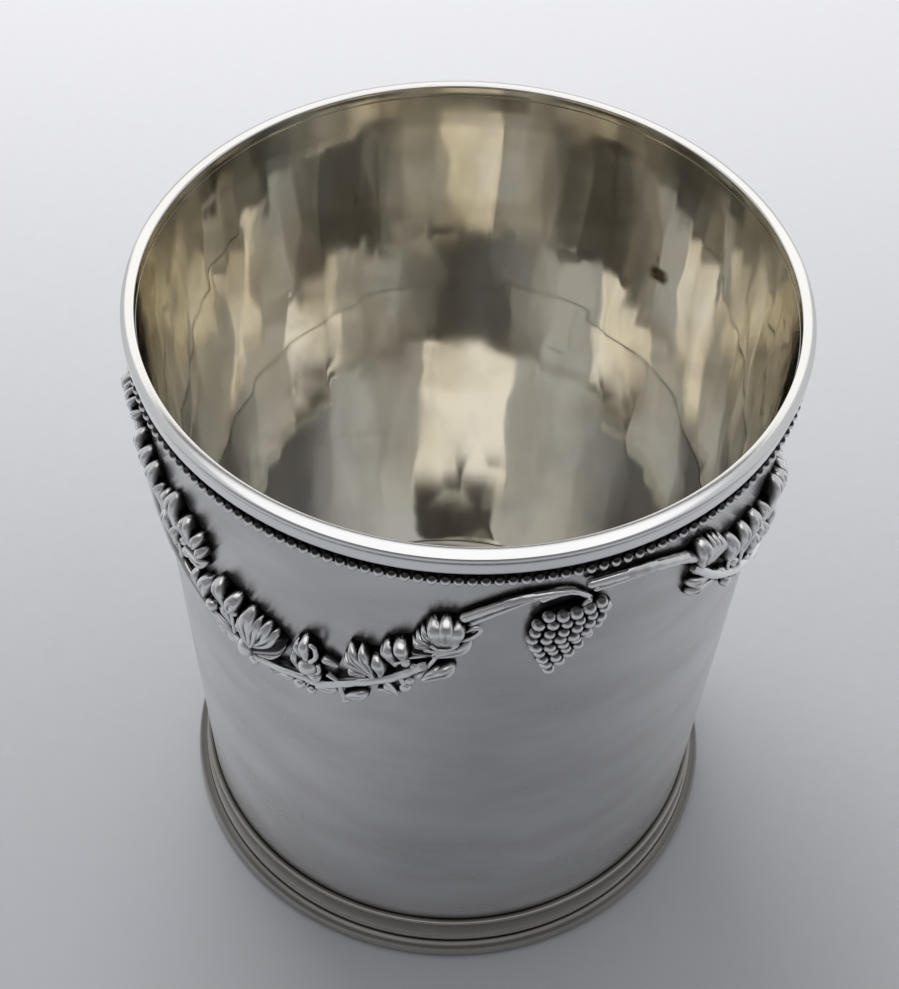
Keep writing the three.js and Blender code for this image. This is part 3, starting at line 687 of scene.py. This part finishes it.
VINE_LEAFLETS = [
    [(15.8, -24.1), (18.8, -22.2), 1.6],
    [(12.3, -24.4), (15.2, -23.1), 1.5],
    [(7.4, -25.4), (9.7, -24.3), 1.2],
    [(5.3, -24.9), (7.1, -25.8), 1.0],
    [(-3.0, -24.0), (-0.9, -25.2), 1.1],
    [(15.3, -18.3), (12.9, -17.6), 1.1],
    [(19.8, -20.7), (21.8, -20.2), 0.9],
    [(-6.6, -21.8), (-8.2, -19.2), 1.3],
    [(-12.2, -17.2), (-14.0, -18.2), 1.1],
    [(-16.5, -13.6), (-18.8, -12.0), 1.3],
    [(-13.3, -15.4), (-15.6, -13.2), 1.4],
    [(-13.2, -14.8), (-11.4, -12.6), 1.3],
    [(-8.9, -17.8), (-6.6, -15.4), 1.5],
    [(-8.9, -15.9), (-6.9, -13.5), 1.3],
    [(-9.0, -18.6), (-11.8, -17.2), 1.3],
    [(0.8, -22.7), (2.5, -19.8), 1.4],
    [(0.7, -22.2), (-1.4, -19.4), 1.5],
]


def vine():
    shells = [stem(VINE_ROUTE, 0.62, 0.55, 0.85, 0.09, 100)]
    shells += [stem(shoot, 0.32, 0.25, 0.85, 0.06, 14) for shoot in VINE_SHOOTS]
    shells += [berry((x, y), radius, 0.9 * radius, 1.12, 0.2 * radius) for x, y, radius in VINE_BERRIES]
    shells += [lobe(root, tip, width, (0.9, 1.2, 1.0), 0.12, 0.4) for root, tip, width in VINE_LEAFLETS]
    shells.append(berry((15.95, -24.9), 0.5, 0.5, 1.2))
    return shells


def arch_twig():
    right_arm = [(41.2, -1.2), (44.8, -1.3), (48.6, -1.9), (52.6, -3.3), (55.4, -4.8)]
    strands = [
        stem([(28.5, -5.2), (31.7, -3.2), (34.6, -2), (37.4, -1.7), (39.6, -2)], 0.55, 0.4, 0.62, 0.07, 40),
        stem([(29.2, -6.2), (32.3, -4.2), (34.9, -2.8), (36.8, -2.2)], 0.45, 0.25, 0.5, 0.06, 30),
        stem([(36.4, -2.5), (38.4, -1.9), (40.2, -2.3), (42.0, -4.0)], 0.45, 0.32, 0.6, 0.06, 26),
        stem(right_arm, 0.5, 0.85, 0.72, 0.07, 46),
        stem([(42.1, -2.7), (44.6, -2.6), (47.2, -2.6), (50.5, -3.0)], 0.32, 0.4, 0.55, 0.06, 26),
    ]
    bars = [
        stem([(42.3, -2.9), (42.6, -2.1), (42.9, -1.4)], 0.25, 0.22, 0.55, 0, 10),
        stem([(44.7, -2.7), (45.0, -2.0), (45.2, -1.4)], 0.28, 0.25, 0.55, 0, 10),
    ]
    curl = [(28.2, -9.0), (29.8, -8.1), (30.6, -6.9), (30.0, -6.4), (28.6, -7.3)]
    loop = stem(curl, 0.32, 0.28, 0.9, 0, 26)
    boat = lobe((25.8, -12.0), (30.2, -8.7), 1.9, (1.2, 1.7, 1.2), 0.15, 0.5, -0.3, 0.7)
    sweep = [
        stem([(28.2, -9.8), (26.6, -10.2), (24.9, -10.2)], 0.26, 0.2, 1.55, 0, 14),
        stem([(26.4, -11.0), (24.9, -11.8), (23.3, -12.6)], 0.3, 0.22, 1.1, 0, 14),
    ]
    return [*strands, *bars, loop, boat, *sweep]


GRAPE_ROWS = (5, 6, 6, 6, 5, 4, 3, 2, 1)
GRAPE_RADIUS = 0.72
GRAPE_STEP = 1.36
BUNCH_TOP = (40.2, -5.0)
BUNCH_BOTTOM = (38.2, -15.4)
ROW_RISE = 0.1
ROW_WOBBLE = 0.12
FULLEST_ROW = 2
BUNCH_REACH = 4.4
LOWEST_GRAPE = 0.5
BUNCH_BULGE = 1.05
SIZE_CHANGE = 0.08


def grapes():
    """Rows of round grapes on a core. The bunch leans, and its rows rise to the right."""
    rows = len(GRAPE_ROWS)
    shells = [lobe((38.3, -14.8), (40.4, -4.4), 6.2, (0.6, 1.2, 1.0), 0, 0.6)]
    for row, count in enumerate(GRAPE_ROWS):
        middle = np.array(BUNCH_TOP) + (np.array(BUNCH_BOTTOM) - BUNCH_TOP) * row / (rows - 1)
        for k in range(count):
            x = (k - (count - 1) / 2) * GRAPE_STEP
            y = ROW_RISE * x + ROW_WOBBLE * math.sin(5 * k + 3 * row)
            crown = 1 - (x / BUNCH_REACH) ** 2
            lift = LOWEST_GRAPE + BUNCH_BULGE * crown * (1 - abs(row - FULLEST_ROW) / rows)
            radius = GRAPE_RADIUS * (1 + SIZE_CHANGE * math.sin(7 * k + 2 * row))
            # Each grape gets painted shade on its upper side and a painted highlight along its lower edge
            shells.append(berry((middle[0] + x, middle[1] + y), radius, lift, shade=0.85, shade_reach=0.74))
    shells.append(lobe((42.6, -7.4), (44.6, -5.7), 1.2, (0.8, 1.2, 1.0), 0.1, 0.4))
    shells.append(stem([(41.8, -3.6), (41.1, -4.3), (40.6, -5.2)], 0.32, 0.28, 1.0, 0, 12))
    return shells


SWAG_SHELLS = {"vine": vine(), "arch_twig": arch_twig(), "grapes": grapes(), **RIGHT_LEAVES, **LEFT_LEAVES}
swag_castings = {name: joined(shells) for name, shells in SWAG_SHELLS.items()}
print("castings in a swag:", len(swag_castings), "points", sum(len(c[0]) for c in swag_castings.values()))

# %% [markdown]
# ## Where the silver darkens
#
# Polish rubs the high places bright and never reaches the low ones, so silver turns black in its hollows. An
# ambient occlusion node could find them while rendering, but here it is worked out once: the castings are
# drawn as a height map on the pattern sheet, the map is blurred, and whatever lies lower than the blurred
# height is a hollow. The same map darkens the wall beside the castings, wider above them than below: oxide,
# and painted shade where the wall lies behind their upper edges.

# %% Make the height map and read tarnish from it
MAP_CELL = 0.2
MAP_LOW = -33.0
MAP_HIGH = 4.0
CUT_BLUR = 2
HOLLOW_BLUR = 4
HALO_BLUR = 8
FACE_SPOTS = 5
# Depths in millimetres over which tarnish grows from none to full
CUT_DEPTHS = (0.0, 0.26)
HOLLOW_DEPTHS = (0.1, 0.6)
LOW_HEIGHTS = (0.2, 0.8)
HALO_HEIGHTS = (0.8, 1.3)
BESIDE_HEIGHTS = (0.4, 1.1)
HALO_RISE = 0.15
map_columns = round(2 * half_swag / MAP_CELL)
map_rows = round((MAP_HIGH - MAP_LOW) / MAP_CELL)


def map_cells(x, y):
    column = np.floor((x + half_swag) / (2 * half_swag) * map_columns).astype(int) % map_columns
    row = np.clip(((y - MAP_LOW) / MAP_CELL).astype(int), 0, map_rows - 1)
    return row, column


def height_map(castings):
    heights = np.zeros((map_rows, map_columns))
    shares = (np.arange(FACE_SPOTS) + 0.5) / FACE_SPOTS
    for points, faces, _ in castings:
        quads = points[np.array([face for face in faces if len(face) == 4])]
        for u in shares:
            for v in shares:
                near = quads[:, 0] * (1 - u) + quads[:, 1] * u
                far = quads[:, 3] * (1 - u) + quads[:, 2] * u
                spot = near * (1 - v) + far * v
                np.maximum.at(heights, map_cells(spot[:, 0], spot[:, 1]), spot[:, 2])
    return heights


def blurred(heights, reach):
    for axis in (0, 1):
        for _ in range(2):
            shifted = [np.roll(heights, shift, axis) for shift in range(-reach, reach + 1)]
            heights = sum(shifted) / len(shifted)
    return heights


garland_heights = height_map(swag_castings.values())
near_heights = blurred(garland_heights, CUT_BLUR)
around_heights = blurred(garland_heights, HOLLOW_BLUR)
halo_heights = blurred(garland_heights, HALO_BLUR)


def hollow_tarnish(points):
    """Tarnish of casting points on the pattern sheet: dark in hollows and near the wall."""
    cells = map_cells(points[:, 0], points[:, 1])
    cut = smooth_step(*CUT_DEPTHS, near_heights[cells] - points[:, 2])
    hollow = smooth_step(*HOLLOW_DEPTHS, around_heights[cells] - points[:, 2])
    low = 1 - smooth_step(*LOW_HEIGHTS, points[:, 2])
    return np.maximum.reduce([cut, hollow, low])


def between_cells(heights, x, y):
    """A height map read between its cells."""
    column = (x + half_swag) / (2 * half_swag) * map_columns - 0.5
    row = np.clip((y - MAP_LOW) / MAP_CELL - 0.5, 0, map_rows - 2)
    left, low = np.floor(column).astype(int), np.floor(row).astype(int)
    u, v = column - left, row - low
    left, right = left % map_columns, (left + 1) % map_columns
    below = heights[low, left] * (1 - u) + heights[low, right] * u
    above = heights[low + 1, left] * (1 - u) + heights[low + 1, right] * u
    return below * (1 - v) + above * v


def halo_shade_and_tarnish(x, y):
    """Tarnish and painted shade of the wall beside the castings, wider above them than below."""
    above = smooth_step(*HALO_HEIGHTS, between_cells(halo_heights, x, y - HALO_RISE))
    beside = smooth_step(*BESIDE_HEIGHTS, between_cells(around_heights, x, y))
    return np.maximum(above, beside)


print("height map", garland_heights.shape, "highest", round(float(garland_heights.max()), 2), "mm")

# %% [markdown]
# ## The three swags
#
# The garland hangs in three equal swags, soldered on piece by piece. An array modifier could repeat one swag
# round the axis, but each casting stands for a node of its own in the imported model, so each is its own mesh.

# %% Place the castings of the three swags
for index, swag in enumerate(SWAG_NAMES):
    turn = FIRST_SWAG_ANGLE + index * SWAG_STEP
    for name, (points, faces, drawn_cuts_and_shade) in swag_castings.items():
        node = f"{swag}_{name}"
        # Darkness drawn with the lobes and berries, painted shade among it, and oxide in the hollows
        shell = (on_wall(points, turn), faces, np.maximum(drawn_cuts_and_shade, hollow_tarnish(points)))
        make_piece(f"{node}_casting", shell, node, garland_finish)
print("castings placed:", len(SWAG_NAMES) * len(swag_castings))

# %% [markdown]
# ## The wall
#
# The wall is sheet silver, raised with a hammer and planished, so it is not a perfect cone. Its outside was
# smoothed and polished, and its inside still shows the shallow flats of the planishing hammer. A bump texture
# could fake them, but here each flat is a real facet of the mesh, because the bent reflections in it are what
# make the inside look hammered.

# %% Make the wall
WALL_SEGMENTS = 480
GARLAND_FLOOR = 52.0
FLAT_WIDTH = 7.5
FLAT_HEIGHT = 12.0
FLAT_DEPTH = 0.12
FLAT_LEAN = 0.04
FLAT_EDGE = 0.006
RIM_STAIN = 0.25
RIM_DROP = 0.5
LINE_STAIN = 0.3
GROOVE_SHADE_AND_OXIDE = 0.9
COARSE_ROW = 2.2
GARLAND_ROWS = 82
INSIDE_ROWS = 120
WAVE_DEPTH = 0.012
SPOT_ANGLE = math.radians(137)
SPOT_HEIGHT = 69.0
cove_top = node_span("foot_cove")[1]
random = np.random.default_rng(7)


def hammer_flats(along, up, columns, rows):
    """Height over the hammer flats. Each flat is a shallow dish with its own tilt, and the lowest dish wins,
    so that flats meet in soft creases (a smooth minimum)."""
    place = random.uniform(-0.3, 0.3, (rows + 4, columns, 2))
    tilt = random.normal(0, FLAT_LEAN, (rows + 4, columns, 2))
    u, v = along * columns, up * rows
    total = np.zeros(u.shape)
    for across in (-1, 0, 1):
        for over in (-1, 0, 1):
            column = np.floor(u).astype(int) + across
            row = np.floor(v).astype(int) + over
            flat = (row + 2, column % columns)
            x = u - column - 0.5 - place[flat][:, 0]
            y = v - row - 0.5 - place[flat][:, 1]
            dish = FLAT_DEPTH * (x * x + 0.5 * y * y) + tilt[flat][:, 0] * x + tilt[flat][:, 1] * y
            total += np.exp(-dish / FLAT_EDGE)
    return -FLAT_EDGE * np.log(total)


def wall_shade_and_tarnish(points, inside, angle):
    x = (angle - FIRST_SWAG_ANGLE) * garland_radius
    height = points[:, 2]
    # Oxide beside the castings, and painted shade on the wall behind their upper edges
    halo = halo_shade_and_tarnish(x, height - sheet_top)
    # Painted shade under the lip, and oxide in the groove over the beads
    groove = smooth_step(bead_top - 0.2, bead_top + 0.2, height)
    seam = 1 - smooth_step(cove_top + 0.05, cove_top + 0.35, height)
    over_rim = height - bead_bottom + RIM_DROP
    rim_line = LINE_STAIN * smooth_step(0.4, 0.1, np.abs(over_rim))
    rim_band = RIM_STAIN * smooth_step(-0.2, 0.4, over_rim) + rim_line
    from_spot = np.hypot((angle - SPOT_ANGLE) * wall_top_radius / 1.3, height - SPOT_HEIGHT)
    spot = smooth_step(1.5, 0.9, from_spot)
    outside = np.maximum.reduce([halo, GROOVE_SHADE_AND_OXIDE * groove, seam])
    return np.where(inside, np.maximum(rim_band, spot), outside)


def wall_shell():
    seam_rows = cove_top + np.array([-0.05, 0.1, 0.35])
    low_rows = np.arange(cove_top + 0.85, GARLAND_FLOOR, COARSE_ROW)
    garland_rows = np.linspace(GARLAND_FLOOR, wall_top, GARLAND_ROWS)
    outer_heights = np.concatenate([[wall_bottom], seam_rows, low_rows, garland_rows])
    inner_heights = np.linspace(wall_top, wall_bottom, INSIDE_ROWS)
    heights = np.concatenate([outer_heights, inner_heights])
    inside = np.arange(len(heights)) >= len(outer_heights)
    radii = wall_radius(heights) - sheet_thickness * inside
    points, faces, _ = turned(np.column_stack([radii, heights, 0 * heights]), WALL_SEGMENTS)
    inside = np.tile(inside, WALL_SEGMENTS)
    angle = np.arctan2(points[:, 0], -points[:, 1])
    up = (points[:, 2] - wall_bottom) / (wall_top - wall_bottom)
    columns = round(2 * math.pi * wall_bottom_radius / FLAT_WIDTH)
    rows = round((wall_top - wall_bottom) / FLAT_HEIGHT)
    edge = smooth_step(0, 0.02, up) * (1 - smooth_step(0.95, 0.97, up))
    dent = hammer_flats(angle / (2 * math.pi) % 1, up, columns, rows) * edge
    wave = WAVE_DEPTH * np.sin(9 * angle + 4 * up) * np.sin(7 * up + 2 * np.sin(5 * angle)) * edge
    radius = np.hypot(points[:, 0], points[:, 1])
    points[:, :2] *= ((radius + np.where(inside, dent, wave)) / radius)[:, None]
    return (points, faces, wall_shade_and_tarnish(points, inside, angle)), inside


def finish_inside(piece, inside):
    """Give the inside finish to the faces whose corners all lie inside."""
    piece.data.materials.append(inside_finish)
    for face in piece.data.polygons:
        face.material_index = int(all(inside[corner] for corner in face.vertices))


wall_skin, inside = wall_shell()
wall = make_piece("raised_wall", wall_skin, "body_wall", wall_finish)
finish_inside(wall, inside)
print("wall:", len(wall.data.vertices), "points")

# %% [markdown]
# ## The base
#
# The base is a disc let into the wall's lower edge. Its solder runs up to the wall in a thin fillet, and its
# middle is a little higher than its edge. A cylinder would do for the disc, but a turned section also gives
# the fillet, the crown and the stain along the seam.

# %% Make the base
BASE_SEGMENTS = 240
BASE_RINGS = 90
BASE_CROWN = 0.12
SOLDER_REACH = 0.22
AXIS_GAP = 0.02


def base_section():
    low, high = node_span("base_disc")
    edge = widest("base_disc", high)
    seam = edge + SOLDER_REACH
    section = [(AXIS_GAP, low, 0), (edge, low, 0.6), (edge, high - 0.3, 0.6), (seam, high - 0.1, 0.6)]
    for radius in np.linspace(seam - 0.02, AXIS_GAP, BASE_RINGS):
        crown = BASE_CROWN * math.cos(radius / seam * math.pi / 2)
        section.append((radius, high + crown, 0.5 * smooth_step(edge - 0.2, edge + 0.1, radius)))
    return section


base_skin = turned(base_section(), BASE_SEGMENTS)
base = make_piece("let_in_base", base_skin, "base_disc", inside_finish)
print("base:", len(base.data.vertices), "points")

# %% [markdown]
# ## The lip
#
# The mouldings were drawn through a plate and bent into rings, so they are turned sections with true arcs.
# A bevelled curve could make them too, but a section with a tarnish number at each corner also puts a dark
# line where two mouldings meet. The lip is a plain skirt under a bright roll with a flattened top, and it
# turns over the wall's upper edge to the inside.

# %% Make the lip
RING_SEGMENTS = 360
ARC_FADE = 3
LIP_WIDTH = 1.7
CREASE_DROP = 1.45
ROLL_RADIUS = 0.4
TOP_RADIUS = 3.25
MOUTH_ROUND = 0.24
MOUTH_MARGIN = 0.05
mouth_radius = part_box("lip_moulding")[1].x - (LIP_WIDTH - MOUTH_MARGIN) * MM


def shaded_arc(centre, radius, start, end, steps, dark_start=0.0, dark_end=0.0):
    """Section corners along an arc, in degrees, darker towards its ends: painted shade in a crease or at the
    floor, and a dark joint where it meets the next piece.
    """
    angles = np.radians(np.linspace(start, end, steps + 1))
    corners = (0, ARC_FADE, steps - ARC_FADE, steps)
    dark = np.interp(range(steps + 1), corners, (dark_start, 0, 0, dark_end))
    across = centre[0] + radius * np.cos(angles)
    up = centre[1] + radius * np.sin(angles)
    return list(zip(across, up, dark))


def lip_section():
    low, high = node_span("lip_moulding")
    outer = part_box("lip_moulding")[1].x / MM
    mouth = outer - LIP_WIDTH
    skirt = widest("lip_moulding", low)
    seat = wall_radius(low)
    crease = high - CREASE_DROP
    section = [(seat, low + 0.1, 1), (skirt - 0.1, low, 1), (skirt - 0.02, low + 0.04, 0.6)]
    section += [(skirt, low + 0.12, 0.25), (skirt, low + 0.3, 0), (skirt, crease - 0.35, 0)]
    # The crease between the skirt and the roll is painted dark, as shade
    section += [(skirt, crease - 0.12, 0.1), (skirt, crease, 0.4)]
    section += shaded_arc((outer - ROLL_RADIUS, high - 0.62), ROLL_RADIUS, -55, 68, 12, 0.4)
    section += shaded_arc((outer - 1.4, high - TOP_RADIUS), TOP_RADIUS, 74, 92, 8)
    section += shaded_arc((mouth + MOUTH_ROUND, high - 0.25), MOUTH_ROUND, 100, 180, 8)
    section += [(mouth, high - 0.5, RIM_STAIN), (mouth, high - 1.2, RIM_STAIN)]
    section += [(mouth - 0.03, high - 1.58, RIM_STAIN), (seat + 0.1, high - 1.5, 1)]
    return section


lip = make_piece("lip_roll", turned(lip_section(), RING_SEGMENTS), "lip_moulding", lip_finish)
finish_inside(lip, [vertex.co.xy.length < mouth_radius for vertex in lip.data.vertices])
print("lip:", len(lip.data.vertices), "points")

# %% [markdown]
# ## The foot
#
# The foot is two drawn mouldings: a hollow cove between two fillets, and under it the rounded ring that the
# beaker stands on. Their silver has aged, and it is painted darker than the lip's as shade from the dark floor
# near it. Like the lip they could be bevelled curves, and like the lip they are turned sections, for the dark
# line between them.

# %% Make the foot
COVE_FILLET = 0.6
COVE_DEPTH = 0.3
COVE_STEP = 0.12
COVE_CORNERS = 12
UPPER_ROUND = 0.28
LEDGE_DEPTH = 1.1
SEAT_OVERLAP = 0.05
# Painted shade over the ring's upper part, dimming its highlight
CROWN_SHADE = 0.55


def cove_section():
    low, high = node_span("foot_cove")
    bottom = widest("foot_cove", low)
    top = widest("foot_cove", high)
    hollow_low, hollow_high = low + COVE_FILLET, high - COVE_FILLET
    hollow_outer, hollow_inner = bottom - COVE_STEP, top - COVE_DEPTH
    section = [(wall_radius(low) - SEAT_OVERLAP, low, 1), (bottom - 0.1, low, 1), (bottom, low + 0.1, 0.8)]
    section += [(bottom, low + 0.25, 0.1), (bottom - 0.03, hollow_low - 0.1, 0)]
    section += [(hollow_outer, hollow_low, 0.1)]
    for corner in range(1, COVE_CORNERS + 1):
        share = corner / COVE_CORNERS
        reach = hollow_inner + (hollow_outer - hollow_inner) * (1 - math.sin(math.pi / 2 * share))
        level = hollow_low + (hollow_high - hollow_low) * (1 - math.cos(math.pi / 2 * share))
        section.append((reach, level, 0.1 + 0.35 * share**3))
    section += [(hollow_inner + 0.05, hollow_high + 0.05, 0.4)]
    section += shaded_arc((top - UPPER_ROUND, high - 0.3), UPPER_ROUND, -60, 90, 10, 0.15, 0.5)
    section += [(wall_radius(high) - SEAT_OVERLAP, high - 0.02, 1)]
    return section


def ring_section():
    low, high = node_span("foot_ring")
    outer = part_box("foot_ring")[1].x / MM
    bulge = (high - low) / 2
    rim = narrowest("foot_ring", low)
    ledge = narrowest("foot_ring", high)
    ledge_low = high - LEDGE_DEPTH
    # Painted shade where the ring stands on the floor and over its upper part; a dark joint in the groove
    # under the cove
    section = [(rim, low, 0.5)]
    for across, up, dark in shaded_arc((outer - bulge, low + bulge), bulge, -90, 90, 26, 0.6, 0.9):
        crown = CROWN_SHADE * smooth_step(low + 1.4 * bulge, low + 1.8 * bulge, up)
        section.append((across, up, max(dark, crown)))
    section += [(ledge, high, 1), (ledge, ledge_low, 0.5), (rim, ledge_low, 0.5)]
    return section


for name, section, node in (
    ("cove_moulding", cove_section(), "foot_cove"),
    ("standing_ring", ring_section(), "foot_ring"),
):
    moulding = make_piece(name, turned(section, RING_SEGMENTS), node, foot_finish)
    print(name, len(moulding.data.vertices), "points")

# %% [markdown]
# ## The beads
#
# The beads were stamped into a strip: each is a round knob in a dark groove, with painted shade on its upper
# side and a painted highlight along its lower edge. An array on a circle could repeat one bead. Here one bead
# is bent round the wall many times, in a loop, so that the row closes with a whole number of them.

# %% Make the row of beads
BEAD_PITCH = 1.37
BEAD_RADIUS = 0.56
BEAD_STRETCH = 1.2
BEAD_PROUD = 0.14
BEAD_MIDDLE = 0.3
BEAD_DROP = 0.05
STRIP_THICKNESS = 0.3


def bead_row():
    middle = (bead_bottom + bead_top) / 2
    strip = wall_radius(middle) + STRIP_THICKNESS
    inner = wall_radius(middle) - SEAT_OVERLAP
    section = [(inner, bead_bottom, 1), (strip, bead_bottom, 1), (strip, bead_top, 1), (inner, bead_top, 1)]
    shells = [turned(section, RING_SEGMENTS)]
    count = round(2 * math.pi * (strip + BEAD_MIDDLE) / BEAD_PITCH)
    # Painted shade on each bead's upper side and a painted highlight along its lower edge
    knob, faces, shade = berry((0, 0), BEAD_RADIUS, 0.0, BEAD_STRETCH, shade=0.92, shade_reach=0.95)
    dark = np.maximum(smooth_step(0.2, 0.05, knob[:, 2]), shade)
    radius = strip + BEAD_PROUD + knob[:, 2]
    height = middle - BEAD_DROP + knob[:, 1]
    for bead in range(count):
        angle = 2 * math.pi * bead / count + knob[:, 0] / strip
        ring = np.column_stack([radius * np.sin(angle), -radius * np.cos(angle), height])
        shells.append((ring, faces, dark))
    return joined(shells)


beads = make_piece("bead_row", bead_row(), "bead_strip", bead_finish)
print("beads:", len(beads.data.vertices), "points")

# %% [markdown]
# ## The floor
#
# Silver shows what is around it, so its room matters as much as its finish. The floor is a sheet of pale
# paper with painted shade: lighter at the back, darker at the front, and the front of the wall mirrors its
# darker front half. A lamp that fades towards the front could shade it too, but it would also change the light
# on the beaker.

# %% Lay the floor
FLOOR_SIZE = 12.0
# How far behind the beaker's axis the paper's painted shade starts to lighten, and where the paper is lightest
PAINTED_SHADE_SPAN = (-0.1, 0.24)
PAPER_FIBRE = 0.004
FIBRES = 400
SHADED_FRONT_PAPER = (0.46, 0.47, 0.5, 1)
LIT_BACK_PAPER = (0.88, 0.88, 0.9, 1)


def paper():
    material = bpy.data.materials.new("pale_paper")
    material.use_nodes = True
    tree = material.node_tree
    shader = tree.nodes["Principled BSDF"]
    shader.inputs["Roughness"].default_value = 0.9
    place = add_node(tree, "ShaderNodeTexCoord").outputs["Object"]
    parts = add_node(tree, "ShaderNodeSeparateXYZ")
    put(tree, place, parts.inputs[0])
    fibre = mapped(tree, noise(tree, place, FIBRES, 3), 0.3, 0.7, -PAPER_FIBRE, PAPER_FIBRE)
    depth = combined(tree, "ADD", parts.outputs["Y"], fibre)
    # The paper's colour is painted shade: dark in front, light behind
    back = mapped(tree, depth, *PAINTED_SHADE_SPAN, 0, 1, "SMOOTHSTEP")
    shade = mixed_colour(tree, back, SHADED_FRONT_PAPER, LIT_BACK_PAPER)
    put(tree, shade, shader.inputs["Base Color"])
    return material


floor_mesh = bpy.data.meshes.new("floor")
floor_corners = [(FLOOR_SIZE / 2 * x, FLOOR_SIZE / 2 * y, 0) for x, y in ((-1, -1), (1, -1), (1, 1), (-1, 1))]
floor_mesh.from_pydata(floor_corners, [], [(0, 1, 2, 3)])
floor_mesh.materials.append(paper())
floor = bpy.data.objects.new("floor", floor_mesh)
bpy.context.scene.collection.objects.link(floor)
print("floor", FLOOR_SIZE, "m square")

# %% [markdown]
# ## The light
#
# The room is painted on the world: grey at the sides, bright overhead, and a wide window behind with a dark
# curtain rail over it. The window's image bounces about inside the beaker. That takes many bounces, so the
# glossy limit is raised. A dark patch lies in the direction where the photograph's camera stood, because
# silver mirrors that dark side of the room. The patch is fixed in the room, and stays there when another view
# moves the camera. A ring of lamps could light the silver too, but their small bright images would show in
# it. One soft lamp lights the paper, and for the same reason the silver doesn't mirror it.

# %% Light the scene
ROOM_FRONT = (0.2, 0.2, 0.21, 1)
ROOM_BACK = (0.5, 0.51, 0.53, 1)
DARK_PATCH = (0.11, 0.11, 0.115, 1)
CEILING = (1.0, 1.0, 1.02, 1)
WINDOW_LIGHT = (1.0, 0.985, 0.96, 1)
CURTAIN_RAIL = (0.05, 0.045, 0.04, 1)
# Degrees to the left and right of the back, and degrees up
WINDOW_SPAN = ((-36, 36), (12, 49))
RAIL_SPAN = ((-34, 30), (49.5, 54))
GLOSSY_BOUNCES = 12
LAMP_PLACE = (-0.12, 0.28, 0.6)
LAMP_AIM = (0, 0.08, 0)
LAMP_SIZE = (0.3, 0.25)
LAMP_WATTS = 1.7
scene = bpy.context.scene
scene.view_settings.view_transform = "Standard"
scene.cycles.glossy_bounces = GLOSSY_BOUNCES
dark_side = Vector(CAMERA_PLACE).normalized()


def patch_mask(tree, azimuth, elevation, azimuth_span, elevation_span, soft):
    """1 inside a rectangle of the room's dome, fading to 0 over soft degrees."""
    edge = math.radians(soft)
    inside = 1
    for value, span in ((azimuth, azimuth_span), (elevation, elevation_span)):
        low, high = (math.radians(limit) for limit in span)
        over = mapped(tree, value, low - edge, low + edge, 0, 1, "SMOOTHSTEP")
        under = mapped(tree, value, high - edge, high + edge, 1, 0, "SMOOTHSTEP")
        inside = combined(tree, "MULTIPLY", inside, combined(tree, "MULTIPLY", over, under))
    return inside


def soft_room():
    """A room seen from the beaker: dark in front, grey at the sides, bright overhead, a window behind."""
    world = bpy.data.worlds.new("soft_room")
    scene.world = world
    world.use_nodes = True
    tree = world.node_tree
    direction = add_node(tree, "ShaderNodeTexCoord").outputs["Generated"]
    parts = add_node(tree, "ShaderNodeSeparateXYZ")
    put(tree, direction, parts.inputs[0])
    azimuth = combined(tree, "ARCTAN2", parts.outputs["X"], parts.outputs["Y"])
    elevation = add_node(tree, "ShaderNodeMath", operation="ARCSINE")
    put(tree, parts.outputs["Z"], elevation.inputs[0])
    elevation = elevation.outputs[0]
    behind = mapped(tree, parts.outputs["Y"], -0.55, 0.15, 0, 1, "SMOOTHSTEP")
    shade = mixed_colour(tree, behind, ROOM_FRONT, ROOM_BACK)
    nearness = add_node(tree, "ShaderNodeVectorMath", operation="DOT_PRODUCT")
    put(tree, direction, nearness.inputs[0])
    put(tree, dark_side, nearness.inputs[1])
    in_patch = mapped(tree, nearness.outputs["Value"], 0.84, 0.93, 0, 1, "SMOOTHSTEP")
    shade = mixed_colour(tree, in_patch, shade, DARK_PATCH)
    overhead = mapped(tree, parts.outputs["Z"], 0.8, 0.88, 0, 1, "SMOOTHSTEP")
    shade = mixed_colour(tree, overhead, shade, CEILING)
    window = patch_mask(tree, azimuth, elevation, *WINDOW_SPAN, 1.5)
    shade = mixed_colour(tree, window, shade, WINDOW_LIGHT)
    rail = patch_mask(tree, azimuth, elevation, *RAIL_SPAN, 1)
    shade = mixed_colour(tree, rail, shade, CURTAIN_RAIL)
    put(tree, shade, tree.nodes["Background"].inputs["Color"])


def soft_box():
    """A soft lamp for the paper. The silver doesn't mirror it."""
    data = bpy.data.lights.new("high_softbox", "AREA")
    data.shape = "RECTANGLE"
    data.size, data.size_y = LAMP_SIZE
    data.energy = LAMP_WATTS
    lamp = bpy.data.objects.new("high_softbox", data)
    lamp.location = LAMP_PLACE
    lamp.rotation_euler = (Vector(LAMP_AIM) - Vector(LAMP_PLACE)).to_track_quat("-Z", "Y").to_euler()
    lamp.visible_glossy = False
    scene.collection.objects.link(lamp)


soft_room()
soft_box()
print("lamps:", len(bpy.data.lights))
